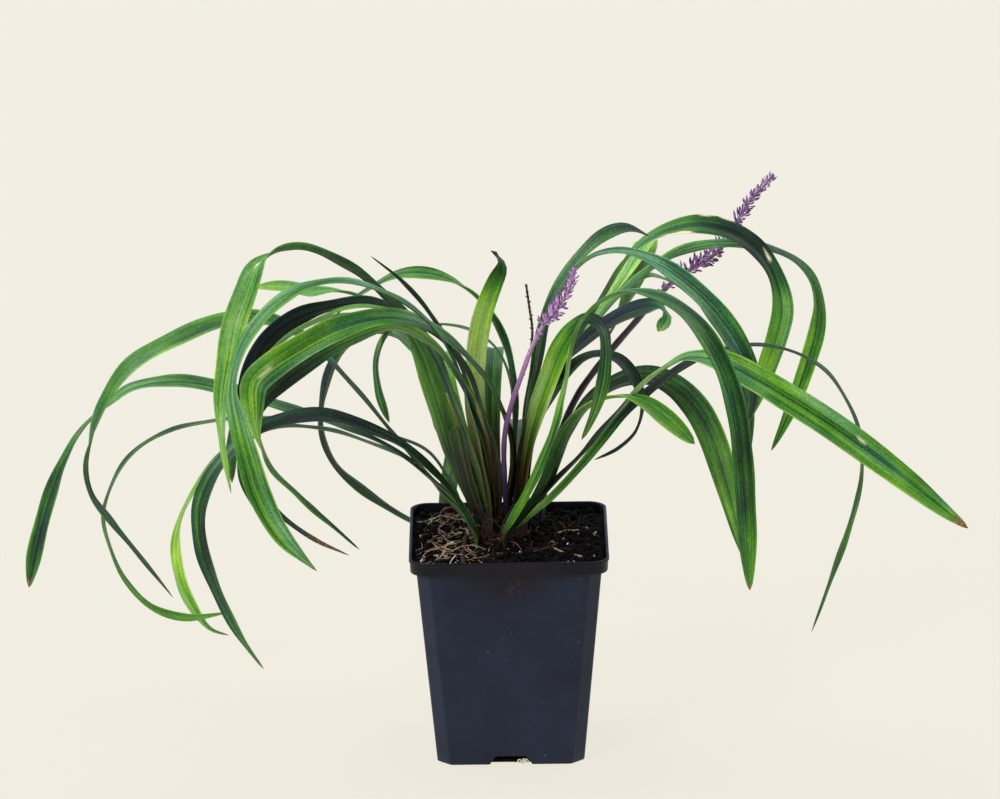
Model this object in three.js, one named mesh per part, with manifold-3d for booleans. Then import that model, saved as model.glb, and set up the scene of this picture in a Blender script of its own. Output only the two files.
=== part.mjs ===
// A potted lilyturf: arching strap leaves in six leafy shoots, two flower spikes and one spent stalk,
// standing in the soil of a square plastic growing pot. Millimetres, +Z up, origin under the pot's centre.
import * as THREE from "three";
import { mergeVertices } from "three/addons/utils/BufferGeometryUtils.js";
import Module from "manifold-3d";

const wasm = await Module();
wasm.setup();

// The pot. Half widths are taken from the pot's axis to the middle of a side.
const pot = {
  height: 100,
  rimHalf: 45,
  rimCorner: 8.5,
  rimBand: 6.4,
  bodyTopHalf: 41.7,
  footHalf: 33.4,
  chamfer: 6,
  wall: 1.2,
  floorUnder: 3,
  floorTop: 4.2,
  cornerSteps: 4,
  notch: { bottom: 19.5, top: 14, height: 4.2 },
  middleFoot: 6,
  drain: { radius: 3.6, cornerAt: 19 },
};

// The soil fills the pot to just under its rim and rises to a low mound round the shoots.
const soil = { level: 96.4, mound: 3.2, moundReach: 24, waves: 0.5, cells: 10, gap: 0.4 };
const crown = { radius: 4.1, foot: 84, top: 105, topRadius: 2.6, sides: 8, holeGap: 0.4 };
const roots = { radius: 0.9, sides: 4, gap: 0.35, rise: 0.25 };

// Leaf blades are shallow channels of even thickness.
const blade = { thickness: 0.7, channel: 0.2, rootShare: 0.5, fullAt: 0.5, tipHalf: 0.35 };

const stalk = { sides: 6, gap: 0.3, sink: 4, holeGap: 1.1 };
const bud = { perMillimetre: 1.05, lean: 0.5, turn: 2.39996, sink: 0.5 };

// Routes are drawn as if on an upright sheet through the pot's axis, looked at by an eye that stands in
// front of it and above it. A point is [across, up, back, turn]: back carries it along the line of sight
// to that depth behind the sheet, and turn rolls a blade from lying flat to the eye (0) through standing
// edge-on (90) to showing its underside (180).
const eye = new THREE.Vector3(-3.25, -2868.9, 1040.1);

function place([across, up, back]) {
  const reach = 1 - back / eye.y;
  return new THREE.Vector3(eye.x + (across - eye.x) * reach, back, eye.z + (up - eye.z) * reach);
}

// Each shoot stands at root [x, y]. A leaf with rule "sky" bends away or forward, and its turn is then
// counted from its upper face looking to the sky.
const shoots = {
  shoot_left_low: {
    root: [-15, -16.3],
    leaves: [
      { width: 9.5, route: [[-15.5, 99, -15, 80], [-21, 109, -6, 80], [-33, 123, 10, 80], [-51, 146, 22, 79],
        [-67, 166.5, 31, 79], [-88, 190, 38, 65], [-105, 201, 41, 52], [-126, 201.5, 42, 42],
        [-149.5, 192.5, 42, 40], [-169.5, 180.5, 41, 46], [-181, 164.5, 40, 58], [-187.2, 149, 39, 80],
        [-190.2, 133, 38, 102], [-188, 120.4, 37, 106], [-179, 107, 36, 108],
        [-163, 85, 34, 104], [-153, 70.4, 32, 100]] },
      { width: 9, tip: 0.05, route: [[-15, 99, -16, 78], [-20.5, 109.5, -11, 78], [-33, 123.5, 4, 76], [-53, 140.5, 15, 74],
        [-77, 151.5, 28, 72], [-105, 161.5, 44, 58], [-132, 170.3, 57, 45], [-150, 173, 65, 54],
        [-169, 170, 73, 64], [-181, 161.5, 78, 76], [-191, 152, 81, 86], [-200.5, 135.7, 84, 62],
        [-207, 120, 86, 46], [-213, 100, 88, 38], [-218.5, 76, 89, 50]] },
      { width: 9.5, route: [[-14.5, 98, -17, 62], [-16.8, 102.5, -19, 60], [-21, 110.5, -20, 62], [-29.4, 123.7, -20, 64],
        [-46.5, 141, -23, 60], [-60, 148.5, -27, 58], [-80.6, 156, -32, 50], [-99.6, 154.5, -36, 50],
        [-114, 149, -39, 54], [-125.5, 138.8, -41, 56], [-133.8, 128, -43, 50], [-139.6, 113, -45, 46],
        [-139.2, 96, -47, 50], [-134.8, 80, -48, 56], [-124, 54.5, -50, 64], [-112.5, 35.6, -51, 70]] },
      { width: 8, route: [[-16, 99, -15, 78], [-21.5, 108.5, -8, 80], [-29, 117, 3, 80], [-40, 131.5, 13, 82],
        [-60, 142, 26, 82], [-80, 149, 38, 82], [-102, 151, 52, 82], [-120, 144.5, 64, 83],
        [-133.5, 134.5, 73, 80], [-142, 121, 80, 82], [-148, 109, 85, 76], [-150.6, 94, 89, 56],
        [-149.4, 82, 91, 44], [-146, 70.5, 92, 42], [-136.6, 55.7, 93, 58], [-128, 52, 93, 65]] },
      { width: 7, route: [[-14.5, 99, -15, 80], [-20.8, 110, -9, 80], [-26.2, 123.5, 3, 80], [-35.7, 138.2, 16, 82],
        [-49.6, 145.5, 24, 82], [-78, 154, 38, 82], [-107, 155.4, 50, 82], [-131, 154.3, 58, 80],
        [-151.6, 149.8, 64, 77], [-166.6, 141.8, 68, 78], [-177, 129, 71, 80], [-183.2, 111, 74, 84],
        [-181, 96, 75, 80], [-174.5, 80.3, 75, 76], [-163, 66.8, 74, 60], [-148, 61.2, 72, 42],
        [-128, 63, 69, 50]] },
    ],
  },
  shoot_left_high: {
    root: [-8.5, -4],
    leaves: [
      { width: 11, route: [[-10, 102, -4, 108], [-14.5, 128, -9, 112], [-24, 161, -17, 112],
        [-36, 190, -24, 112], [-53, 210, -32, 110], [-70, 225, -40, 110], [-90, 234.5, -48, 108],
        [-102, 233.5, -52, 98], [-107.5, 230.5, -54, 80], [-112.3, 224.5, -56, 44], [-117, 213.5, -58, 20],
        [-122, 200, -60, 12], [-125.2, 184, -62, 28], [-128.3, 166, -63, 54], [-128.5, 148, -63, 66],
        [-125.5, 120, -61, 74]] },
      { width: 11.2, tip: 0.13, route: [[-8, 102, -7, 80], [-11, 130, -16, 82], [-18, 163, -26, 84],
        [-30, 193, -38, 84], [-50, 211, -52, 84], [-71.6, 218.6, -63, 80], [-89.5, 216.4, -70, 72],
        [-102, 209, -76, 62], [-111.5, 199.3, -80, 60], [-118.8, 187, -83, 70], [-123, 170, -86, 66],
        [-120.8, 154, -87, 42], [-117, 137, -89, 26], [-112.4, 120, -89, 22], [-103, 100.5, -88, 34],
        [-87.4, 82.4, -87, 62]] },
      { width: 10, route: [[-6.5, 102, -2, 95], [-4.5, 126, -2, 98], [-9.5, 150, -5, 102],
        [-22, 183, -11, 104], [-42, 200.3, -17, 108], [-61.5, 209, -21, 112], [-81, 206.6, -24, 124],
        [-94, 202, -26, 142], [-106.7, 192.3, -28, 148], [-114.5, 178, -30, 146],
        [-118, 160, -31, 138], [-117, 140, -31, 122], [-111, 121, -31, 110], [-101, 108.2, -31, 106],
        [-87, 97.6, -31, 104], [-72.4, 89.6, -31, 98]] },
      { width: 5, route: [[-6.5, 102, -6, 80], [-3.5, 122, -11, 80], [-5, 141, -14, 80],
        [-12, 158.5, -16, 80], [-23, 177, -19, 80], [-45, 202, -25, 78], [-60, 207, -29, 75],
        [-72, 206.3, -32, 75], [-85, 201.4, -35, 75], [-97, 195, -37, 75], [-107, 187, -39, 72]] },
      { width: 12.8, tip: 0.3, route: [[-6.5, 102, -4, 72], [-1, 117, -3, 74], [1.5, 140, -7, 76],
        [-8, 169.5, -18, 82], [-28, 192, -31, 72], [-42, 200, -39, 62], [-57, 201.5, -44, 52],
        [-77, 196, -51, 36], [-95, 186.5, -57, 24], [-107, 178.5, -60, 12], [-113.5, 171.5, -62, 14],
        [-114, 160, -64, 42], [-112.4, 147.5, -64, 78], [-106.8, 132.5, -64, 96],
        [-95, 119.5, -62, 102], [-80, 104.7, -60, 104], [-67.8, 92.5, -59, 100]] },
      { width: 9.4, route: [[-7, 102, -6, 85], [-8, 130, -17, 90], [-17, 162, -28, 100],
        [-33, 188, -38, 110], [-50, 197.5, -41, 120], [-70, 192, -43, 132], [-88, 181.5, -45, 145],
        [-101.5, 171.5, -47, 148], [-111.5, 160.5, -49, 132], [-119, 143, -51, 112], [-120.5, 129, -52, 110],
        [-115, 112, -52, 104]] },
      { width: 9.5, tip: 0.08, route: [[-11, 102, -2, 140], [-18.5, 119.4, -3, 150],
        [-24.3, 135.3, -5, 164], [-29, 152, -7, 172], [-34.2, 170.3, -9, 172], [-39, 185, -8, 150],
        [-44, 194, -5, 122], [-49.5, 197, -1, 102], [-55, 191.5, 5, 84], [-58.2, 180.6, 10, 75],
        [-57, 168, 13, 71], [-53.4, 152.6, 15, 68]] },
      { width: 6.2, tip: 0.1, route: [[-9, 102, -1, 90], [-19, 145, 7, 90], [-33, 180, 13, 92],
        [-48, 200, 17, 94], [-61, 209.8, 19, 94], [-73, 214.2, 21, 88], [-80, 214.7, 22, 66],
        [-88, 214.6, 24, 36], [-96.5, 216.8, 26, 34], [-105, 217.4, 27, 26], [-112.4, 216.8, 28, 30]] },
      { width: 5, route: [[-8, 102, -2, 100], [-12, 138, 0, 100], [-17, 166, 1, 105],
        [-24, 186, 1, 112], [-30.5, 197, 1, 114], [-38.5, 209, 0, 112], [-48.7, 220.6, -2, 108],
        [-60.7, 231, -4, 100]] },
      { width: 6.5, tip: 0.06, route: [[-11, 102, -6, 165], [-17, 118, -10, 165],
        [-21, 135, -13, 165], [-24, 151, -15, 165]] },
    ],
  },
  shoot_back: {
    root: [-5, 9],
    leaves: [
      { width: 9.4, tip: 0.06, route: [[-5, 102, 10, 12], [-10, 130, 12, 12], [-14.5, 158, 15, 10],
        [-14.2, 182, 18, 12], [-10.8, 203, 21, 18], [-6, 217, 24, 34], [-3, 225, 26, 60],
        [-3.6, 229.5, 27, 92], [-6.8, 232.8, 28, 118]] },
      { width: 9.5, rule: "sky", route: [[-5, 102, 12, 0], [-6, 126, 20, 0], [-7, 148, 30, 0],
        [-7, 167, 41, 0], [-6.5, 181, 53, 0], [-6, 187, 68, 0], [-6, 184, 84, 0], [-7, 172, 99, 0],
        [-8, 152, 110, 0], [-8, 130, 117, 0]] },
      { width: 7.5, route: [[-3, 102, 9, 108], [1.8, 135, 15, 112], [3, 162, 21, 115],
        [0, 186, 27, 115], [-7, 202.5, 31, 112], [-16, 213.5, 33, 98], [-26, 219.5, 34, 62],
        [-38, 222.5, 35, 46], [-49, 221.5, 35, 58], [-60, 216, 35, 78], [-70, 209.5, 35, 85],
        [-79, 201, 35, 85]] },
      { width: 5, route: [[-3.5, 102, 11, 85], [2, 140, 22, 85], [2, 168, 31, 85], [-4, 186, 39, 84],
        [-15, 195, 45, 82], [-28, 198.5, 49, 80], [-42, 197, 53, 78]] },
      { width: 8, route: [[-7, 102, 8, 85], [-17, 145, 24, 85], [-32, 178, 40, 84],
        [-50, 193, 52, 80], [-63, 194.5, 59, 68], [-72, 189, 63, 58], [-79, 178, 66, 60],
        [-83.2, 161, 68, 70], [-83, 147, 69, 74], [-78, 134, 70, 68], [-67.5, 123, 71, 60],
        [-52, 111.3, 72, 62], [-35, 101, 72, 65]] },
      { width: 8, rule: "sky", route: [[-7, 102, 10, 0], [-17, 130, 20, 0], [-23, 155, 34, 0],
        [-27, 172, 48, 0], [-29, 183, 62, 0], [-30, 185, 78, 0], [-31, 178, 94, 0],
        [-32, 163, 106, 0], [-32, 148, 114, 0]] },
      { width: 8.5, rule: "sky", route: [[-6, 102, 12, 0], [-13, 126, 30, 0], [-17, 142, 52, 0],
        [-20, 149, 80, 0], [-22, 146, 106, 0], [-25, 133, 128, 0], [-28, 112, 144, 0],
        [-30, 92, 152, 0]] },
      { width: 9, rule: "sky", route: [[-6, 102, 11, 0], [-19, 145, 30, 0], [-34, 178, 50, 0],
        [-52, 197, 72, 0], [-72, 203, 92, 0], [-92, 197, 110, 0], [-108, 184, 124, 0],
        [-118, 165, 134, 0], [-124, 145, 140, 0], [-125, 125, 143, 0]] },
    ],
  },
  shoot_right_low: {
    root: [-1.5, -16.3],
    leaves: [
      { width: 12.5, tip: 0.25, route: [[-0.5, 98.5, -17, 80], [5, 104.5, -17.5, 80],
        [12, 112.5, -19, 80], [22, 124, -24, 80], [34, 136.8, -30, 80], [44, 148.5, -35, 80],
        [52, 158, -39, 84], [60, 167.5, -43, 88], [70, 176, -52, 86], [82, 181.5, -60, 74],
        [95, 180, -66, 42], [110, 172.5, -71, 22], [127, 162, -75, 10], [145, 150, -78, 5],
        [163, 136.5, -80, 5], [181, 122, -82, 8], [197, 108.5, -84, 12], [208.5, 99.5, -85, 20]] },
      { width: 6.5, route: [[0, 98.5, -15, 40], [8, 106, -11.5, 36], [19, 115.5, -9.5, 32],
        [33, 131, -11, 30], [45, 146, -13, 32], [55, 158, -15, 42], [66, 167.5, -18, 50],
        [78, 176.5, -21, 56], [91, 183, -24, 72], [105, 186.8, -27, 82], [119, 186.5, -29, 84],
        [132, 182.5, -31, 84], [144, 174, -33, 82], [152, 162.5, -34, 82], [158, 148, -35, 84],
        [160, 132, -36, 82], [158, 116, -36, 74], [153.6, 99, -36, 65], [148, 82, -35, 66],
        [137.6, 50.4, -33, 76]] },
      { width: 9.4, tip: 0.13, route: [[-1, 98.5, -16, 125], [5, 106, -17, 128],
        [12, 114.5, -19, 130], [18, 124.5, -23, 132], [22.5, 135.5, -27, 132],
        [26.5, 146, -32, 126], [32, 154.5, -37, 116], [39, 160.3, -42, 104], [46, 163.2, -46, 90],
        [54, 163.4, -50, 80], [62, 160.3, -54, 54], [71.5, 153.2, -57, 26], [84.5, 141, -60, 22]] },
      { width: 10.5, tip: 0.14, route: [[-2, 97.5, -17.5, 60], [2.5, 105.5, -20, 54],
        [8, 115.5, -23, 50], [16, 133, -28, 54], [23, 153, -35, 66], [27, 171, -42, 80],
        [29.7, 187, -49, 90], [34.5, 200, -56, 92], [43.5, 208.6, -62, 90], [55, 212.6, -67, 82],
        [68, 210, -72, 66], [80, 202.5, -77, 54], [90, 190.5, -82, 42], [98.2, 174, -86, 36],
        [103.4, 154.5, -89, 32], [105.8, 133, -91, 30], [107.2, 110, -92, 30], [108.4, 90, -92, 26],
        [109.5, 71, -92, 20]] },
    ],
  },
  shoot_right_high: {
    root: [5.8, -2],
    leaves: [
      { width: 10, tip: 0.16, route: [[5.5, 102, -4, 60], [7.5, 130, -9, 50], [12.5, 153, -14, 36],
        [18.5, 171, -19, 26], [24, 185.5, -26, 26], [30.5, 195.2, -34, 40], [37.5, 199, -42, 56],
        [42.6, 194.5, -49, 62], [43.8, 184, -55, 58], [42.3, 170, -60, 56], [38.8, 157, -63, 58],
        [33.4, 143.5, -65, 60]] },
      { width: 7, route: [[6, 102, -3, 80], [8, 128, -6, 72], [11.5, 147, -10, 62],
        [17.5, 161.5, -14, 52], [25.5, 173.5, -18, 50], [34, 181.3, -21, 58], [42, 183.6, -24, 60],
        [50.5, 181, -26, 48], [57.3, 172, -28, 46], [60.5, 160, -29, 72], [58, 148, -30, 96],
        [50, 140, -31, 106], [39, 134, -31, 105]] },
      { width: 12.6, tip: 0.3, route: [[7, 102, -1, 95], [12.5, 115, 0, 95], [19, 128.5, 1, 95],
        [24.5, 142, 2, 97], [30, 152, 3, 102], [37, 161, 4, 112], [45, 167.5, 5, 122],
        [55, 172, 7, 128], [66, 172.5, 9, 134], [76, 167.5, 11, 150], [85, 158, 12, 165],
        [91, 147, 12, 172], [96.5, 131, 12, 172], [101, 114, 11, 168], [104.4, 99, 10, 160],
        [107.4, 85, 10, 150]] },
      { width: 8, tip: 0.06, route: [[5, 102, -1, 100], [8, 134, -2, 98], [14, 160, -4, 90],
        [24, 178, -8, 70], [35, 190, -12, 50], [45, 198, -15, 38], [54, 203, -17, 30],
        [62, 205.6, -19, 30], [67.5, 205.8, -20, 54], [70.6, 204, -21, 84], [71.5, 201, -22, 56],
        [70.2, 197.6, -23, 18], [68, 194.2, -23, 10]] },
      { width: 11, tip: 0.16, route: [[4.5, 102, -4, 90], [5.5, 130, -6, 90], [9, 155, -8, 88],
        [13.5, 180, -10, 86], [18.5, 202, -14, 84], [24.5, 214.5, -18, 84], [31, 223, -22, 84],
        [40, 229.8, -27, 84], [53, 231.2, -34, 76], [66, 226.8, -40, 59], [79.5, 217.5, -45, 45],
        [92.3, 205, -49, 38], [102.3, 190.8, -52, 34], [109, 176, -54, 40], [111, 163, -55, 50],
        [108, 149, -55, 60]] },
      { width: 9, tip: 0.12, route: [[5, 102, 0, 90], [6.5, 130, 1, 76], [10, 157, 2, 60],
        [14, 180, 3, 56], [17.2, 197, 5, 56], [20.7, 208, 7, 56], [26.2, 218.5, 9, 56],
        [34, 229.8, 12, 56], [44, 238.8, 15, 52], [54, 242.3, 18, 60], [65, 238.6, 22, 84]] },
    ],
  },
  shoot_right_back: {
    root: [5, 10.5],
    leaves: [
      { width: 10.5, tip: 0.16, route: [[5.5, 102, 10, 108], [8, 136, 14, 108], [14.5, 161, 18, 108],
        [24, 180, 21, 106], [35.5, 197, 24, 103], [45.5, 213.5, 27, 98], [55, 229, 30, 88], [65, 237.5, 33, 70],
        [76, 242, 35, 48], [88, 243.5, 36, 38], [100, 240.8, 37, 35], [110.5, 234, 38, 40],
        [118, 224.5, 38, 48], [122.5, 213.5, 38, 36], [123.8, 203, 38, 22], [121.4, 191, 38, 18],
        [117.2, 178, 38, 20], [113.2, 165, 38, 30], [108.8, 151.5, 38, 40]] },
      { width: 11, rule: "sky", route: [[5, 102, 12, -30], [8.5, 136, 22, -30], [17, 163, 32, -30],
        [28.5, 184, 42, -30], [40, 201, 51, -28], [51, 216, 60, -22], [58.5, 228.5, 70, -16],
        [62.5, 235.5, 83, -8], [62.5, 232, 96, 0], [59, 219.5, 108, 0], [53, 205.5, 116, 0],
        [46, 192, 120, 0]] },
      { width: 8.5, route: [[6.5, 102, 11, 85], [10, 136, 18, 82], [18, 162, 27, 80],
        [30, 184, 36, 78], [42, 200.5, 43, 75], [53, 213, 48, 72], [64, 222.5, 53, 68], [77, 230.5, 58, 62],
        [91, 234, 63, 60], [106, 234, 67, 64], [119, 231.5, 70, 68], [129.5, 226.3, 72, 70],
        [136.8, 218, 74, 66], [139.8, 207, 75, 50], [139.2, 194, 76, 28], [136, 181, 77, 15],
        [131.6, 167, 78, 12], [125.8, 152, 78, 20], [119.2, 137.5, 78, 40]] },
      { width: 7, route: [[4, 102, 9, 150], [6.5, 128, 10, 150], [10, 147, 12, 150],
        [15.5, 161, 15, 140], [22.5, 172.5, 19, 115]] },
      { width: 4.5, route: [[6, 102, 12, 95], [7.5, 127, 15, 95], [11, 144, 18, 95],
        [15.5, 154, 22, 95], [21, 163, 26, 95], [27.5, 173, 30, 95], [35, 181, 33, 95],
        [44, 187, 36, 90]] },
      { width: 8.5, rule: "sky", route: [[5, 102, 13, 0], [3.5, 126, 30, 0], [4.5, 146, 54, 0],
        [5, 153, 82, 0], [5, 150, 110, 0], [5, 136, 134, 0], [6, 114, 150, 0],
        [8, 94, 158, 0]] },
      { width: 9, rule: "sky", route: [[6, 102, 11, 0], [9.5, 140, 26, 0], [18, 166, 38, 0],
        [31.5, 190, 52, 0], [47, 210, 66, 0], [64, 220, 84, 0], [82, 212, 102, 0], [95, 196, 116, 0],
        [104, 178, 126, 0], [108, 158, 132, 0], [109, 135, 136, 0]] },
    ],
  },
};

// Flower stalks, and the spikes of buds that they carry on.
const flowers = {
  front: {
    radius: 1.25,
    spikeWidth: 8.6,
    stem: [[0.5, 95, -6], [-0.8, 110, -10.5], [-1.6, 125, -16], [-1.3, 146, -23], [2, 161, -27],
      [6.5, 174, -29], [10.5, 185.5, -31]],
    spike: [[10.5, 185.5, -31], [14.3, 193.5, -32], [18.7, 200.5, -33], [24.4, 207.8, -34],
      [28.5, 215.5, -35], [30.5, 224, -35]],
  },
  tall: {
    radius: 1.65,
    spikeWidth: 8.2,
    stem: [[14.5, 101, 17], [17.5, 128, 24], [24, 147, 31], [32, 165, 39], [45.3, 183.5, 47],
      [59, 200, 56], [66, 208.5, 60]],
    spike: [[66, 208.5, 60], [75, 217.5, 65], [85, 224.5, 69], [93, 229.5, 72], [99, 236, 74],
      [103.5, 244.5, 75], [109, 254, 76], [115.5, 261, 77], [119.5, 266, 78]],
  },
};
const spentStalk = {
  radius: 0.75,
  stem: [[-1.6, 98, 2], [-1.6, 125, 1.5], [-0.8, 147, 1], [2.4, 161, 0.5], [7, 174, 0], [10.8, 186, 0],
    [11.6, 196, 0], [10.4, 206, 0], [9, 217, 0]],
  scars: [0.72, 0.79, 0.86, 0.93, 0.985],
};

// Roots that lie on the soil, as [x, y] points. The first runs round the shoots and the others cross it.
const rootRuns = [
  [[-24, -6], [-23.5, -16], [-16, -24], [-5, -25], [7, -23.5], [18, -18], [24, -6], [26, 9], [21, 24], [4, 28],
    [-13, 24], [-24, 12], [-26, 1]],
  [[-36, -30], [-29, -27], [-24.5, -20], [-23, -13]],
  [[-37, -8], [-31, -12], [-26, -4], [-21, 4]],
  [[-33, 14], [-29, 4], [-35, -2], [-37, -12], [-30, -20], [-23.5, -17]],
  [[-30, 32], [-22, 27], [-16, 22], [-14, 16]],
  [[-12, -36], [-13.5, -30], [-10, -25], [-8.6, -19]],
  [[33, -28], [26, -24], [20, -18], [15, -14]],
  [[36, 14], [31, 9], [26, 7], [21, 2]],
];

const finishes = {
  pot: { color: 0x2c3443, roughness: 0.48, metalness: 0 },
  soil: { color: 0x2e231c, roughness: 0.95, metalness: 0 },
  roots: { color: 0xa58a66, roughness: 0.8, metalness: 0 },
  leaf: { color: 0x3d7a2a, roughness: 0.42, metalness: 0 },
  stem: { color: 0x4d2f44, roughness: 0.5, metalness: 0 },
  flower: { color: 0x9a68a8, roughness: 0.6, metalness: 0 },
  spent: { color: 0x4a342b, roughness: 0.85, metalness: 0 },
};

const group = new THREE.Group();

function addPiece(name, solid, finish) {
  const { vertProperties, triVerts } = solid.getMesh();
  const geometry = new THREE.BufferGeometry();
  geometry.setAttribute("position", new THREE.BufferAttribute(Float32Array.from(vertProperties), 3));
  geometry.setIndex(new THREE.BufferAttribute(Uint32Array.from(triVerts), 1));
  const mesh = new THREE.Mesh(geometry, new THREE.MeshStandardMaterial(finishes[finish]));
  mesh.name = name;
  group.add(mesh);
}

// A solid from corner points and triangles, turned right side out.
function closedSolid(points, triangles) {
  let volume = 0;
  for (const [a, b, c] of triangles) {
    volume += points[a].dot(points[b].clone().cross(points[c]));
  }
  const order = volume > 0 ? ([a, b, c]) => [a, b, c] : ([a, b, c]) => [a, c, b];
  return new wasm.Manifold(new wasm.Mesh({
    numProp: 3,
    vertProperties: Float32Array.from(points.flatMap((p) => p.toArray())),
    triVerts: Uint32Array.from(triangles.flatMap(order)),
  }));
}

// A three.js geometry as a solid.
function solidOf(geometry) {
  geometry.deleteAttribute("normal");
  geometry.deleteAttribute("uv");
  const merged = mergeVertices(geometry, 1e-4);
  return new wasm.Manifold(new wasm.Mesh({
    numProp: 3,
    vertProperties: Float32Array.from(merged.attributes.position.array),
    triVerts: Uint32Array.from(merged.index.array),
  }));
}

// The largest body alone, without crumbs cut loose and hollows sealed where blades cross.
function outerBody(solid) {
  return solid.decompose().sort((a, b) => b.volume() - a.volume())[0];
}

function fuse(solids) {
  return solids.reduce((whole, next) => whole.add(next));
}

// Skins rings of equal count into one closed body. The corners of a ring go round it in order.
function skinRings(rings) {
  const count = rings[0].length;
  const points = rings.flat();
  const triangles = [];
  for (let r = 0; r + 1 < rings.length; r++) {
    for (let i = 0; i < count; i++) {
      const a = r * count + i;
      const b = r * count + ((i + 1) % count);
      triangles.push([a, b, b + count], [a, b + count, a + count]);
    }
  }
  const last = (rings.length - 1) * count;
  for (let i = 1; i + 1 < count; i++) {
    triangles.push([0, i + 1, i], [last, last + i, last + i + 1]);
  }
  return closedSolid(points, triangles);
}

function upright(radius, low, high, [x, y], sides, topRadius = radius) {
  const shape = new THREE.CylinderGeometry(topRadius, radius, high - low, sides);
  return solidOf(shape.rotateX(Math.PI / 2).translate(x, y, (low + high) / 2));
}

// --- The pot -----------------------------------------------------------------------------------

// One level of the pot: a square whose corners are cut flat, or rounded where bulge is 1.
function squareRing(half, corner, bulge, z) {
  const ring = [];
  for (let side = 0; side < 4; side++) {
    for (let i = 0; i <= pot.cornerSteps; i++) {
      const t = i / pot.cornerSteps;
      const angle = (t * Math.PI) / 2;
      const flat = new THREE.Vector3(half - corner * t, half - corner * (1 - t), z);
      const round = new THREE.Vector3(
        half - corner + corner * Math.cos(angle), half - corner + corner * Math.sin(angle), z);
      ring.push(flat.lerp(round, bulge).applyAxisAngle(new THREE.Vector3(0, 0, 1), (side * Math.PI) / 2));
    }
  }
  return ring;
}

// How far the straight body of the pot stands from its axis at height z.
function bodyHalf(z) {
  const share = z / (pot.height - pot.rimBand);
  return pot.footHalf + (pot.bodyTopHalf - pot.footHalf) * share;
}

function potShell() {
  const shoulder = pot.height - pot.rimBand;
  const lip = 0.5;
  const shelf = shoulder + pot.wall;
  const footInner = bodyHalf(0) - pot.wall;
  const rings = [
    squareRing(bodyHalf(pot.floorTop) - pot.wall, pot.chamfer - 0.5, 0, pot.floorTop),
    squareRing(pot.bodyTopHalf - pot.wall, pot.chamfer - 0.5, 0, shelf),
    squareRing(pot.rimHalf - pot.wall - 0.4, pot.rimCorner - pot.wall, 1, shelf),
    squareRing(pot.rimHalf - pot.wall - 0.2, pot.rimCorner - pot.wall, 1, pot.height),
    squareRing(pot.rimHalf, pot.rimCorner, 1, pot.height),
    squareRing(pot.rimHalf, pot.rimCorner, 1, pot.height - lip * 2),
    squareRing(pot.rimHalf - lip, pot.rimCorner - lip, 1, pot.height - lip * 3),
    squareRing(pot.rimHalf - lip - 0.2, pot.rimCorner - lip, 1, shoulder),
    squareRing(pot.bodyTopHalf, pot.chamfer, 0, shoulder),
    squareRing(pot.footHalf, pot.chamfer, 0, 0),
    squareRing(footInner, pot.chamfer - 0.5, 0, 0),
    squareRing(footInner, pot.chamfer - 0.5, 0, pot.floorUnder),
  ];
  return skinRings(rings);
}

// The slot that lets water out under the middle of a side.
function footNotch(quarter) {
  const { bottom, top, height } = pot.notch;
  const outline = new THREE.Shape();
  outline.moveTo(-bottom / 2, -1);
  outline.lineTo(bottom / 2, -1);
  outline.lineTo(bottom / 2, 0);
  outline.lineTo(top / 2, height);
  outline.lineTo(-top / 2, height);
  outline.lineTo(-bottom / 2, 0);
  outline.closePath();
  const slot = new THREE.ExtrudeGeometry(outline, { depth: 9, bevelEnabled: false });
  slot.rotateX(Math.PI / 2).translate(0, -pot.footHalf + 7, 0).rotateZ((quarter * Math.PI) / 2);
  return solidOf(slot);
}

function makePot() {
  const { radius, cornerAt } = pot.drain;
  const low = pot.floorUnder - 1;
  const high = pot.floorTop + 1;
  let shell = potShell().add(upright(pot.middleFoot, 0, pot.floorTop - 0.2, [0, 0], 16));
  for (let quarter = 0; quarter < 4; quarter++) {
    const x = quarter % 3 === 0 ? cornerAt : -cornerAt;
    const y = quarter < 2 ? cornerAt : -cornerAt;
    shell = shell.subtract(upright(radius, low, high, [x, y], 12)).subtract(footNotch(quarter));
  }
  addPiece("pot", shell, "pot");
}

// --- Soil and the roots on it ------------------------------------------------------------------

function soilHeight(x, y) {
  const fromCrown = Math.hypot(x + 1, y) / soil.moundReach;
  const mound = soil.mound * Math.exp(-fromCrown * fromCrown);
  const waves = Math.sin(x * 0.21 + 1.3) * Math.cos(y * 0.17 - 0.6) + 0.5 * Math.sin(x * 0.43 - y * 0.37);
  return soil.level + mound + soil.waves * waves;
}

// A block whose top follows the soil's surface, wider than the pot.
function soilBlock() {
  const half = pot.rimHalf;
  const count = soil.cells + 1;
  const points = [];
  for (const surface of [true, false]) {
    for (let row = 0; row < count; row++) {
      for (let column = 0; column < count; column++) {
        const x = -half + (2 * half * column) / soil.cells;
        const y = -half + (2 * half * row) / soil.cells;
        points.push(new THREE.Vector3(x, y, surface ? soilHeight(x, y) : 0));
      }
    }
  }
  const under = count * count;
  const triangles = [];
  for (let row = 0; row < soil.cells; row++) {
    for (let column = 0; column < soil.cells; column++) {
      const a = row * count + column;
      const square = [a, a + 1, a + 1 + count, a + count];
      triangles.push([square[0], square[1], square[2]], [square[0], square[2], square[3]]);
      const below = square.map((corner) => corner + under);
      triangles.push([below[0], below[2], below[1]], [below[0], below[3], below[2]]);
    }
  }
  for (let i = 0; i < soil.cells; i++) {
    const edges = [[i, i + 1], [(i + 1) * count + soil.cells, i * count + soil.cells].reverse(),
      [under - 1 - i, under - 2 - i], [(soil.cells - i) * count, (soil.cells - i - 1) * count]];
    for (const [a, b] of edges) {
      triangles.push([b, a, a + under], [b, a + under, b + under]);
    }
  }
  return closedSolid(points, triangles);
}

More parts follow.
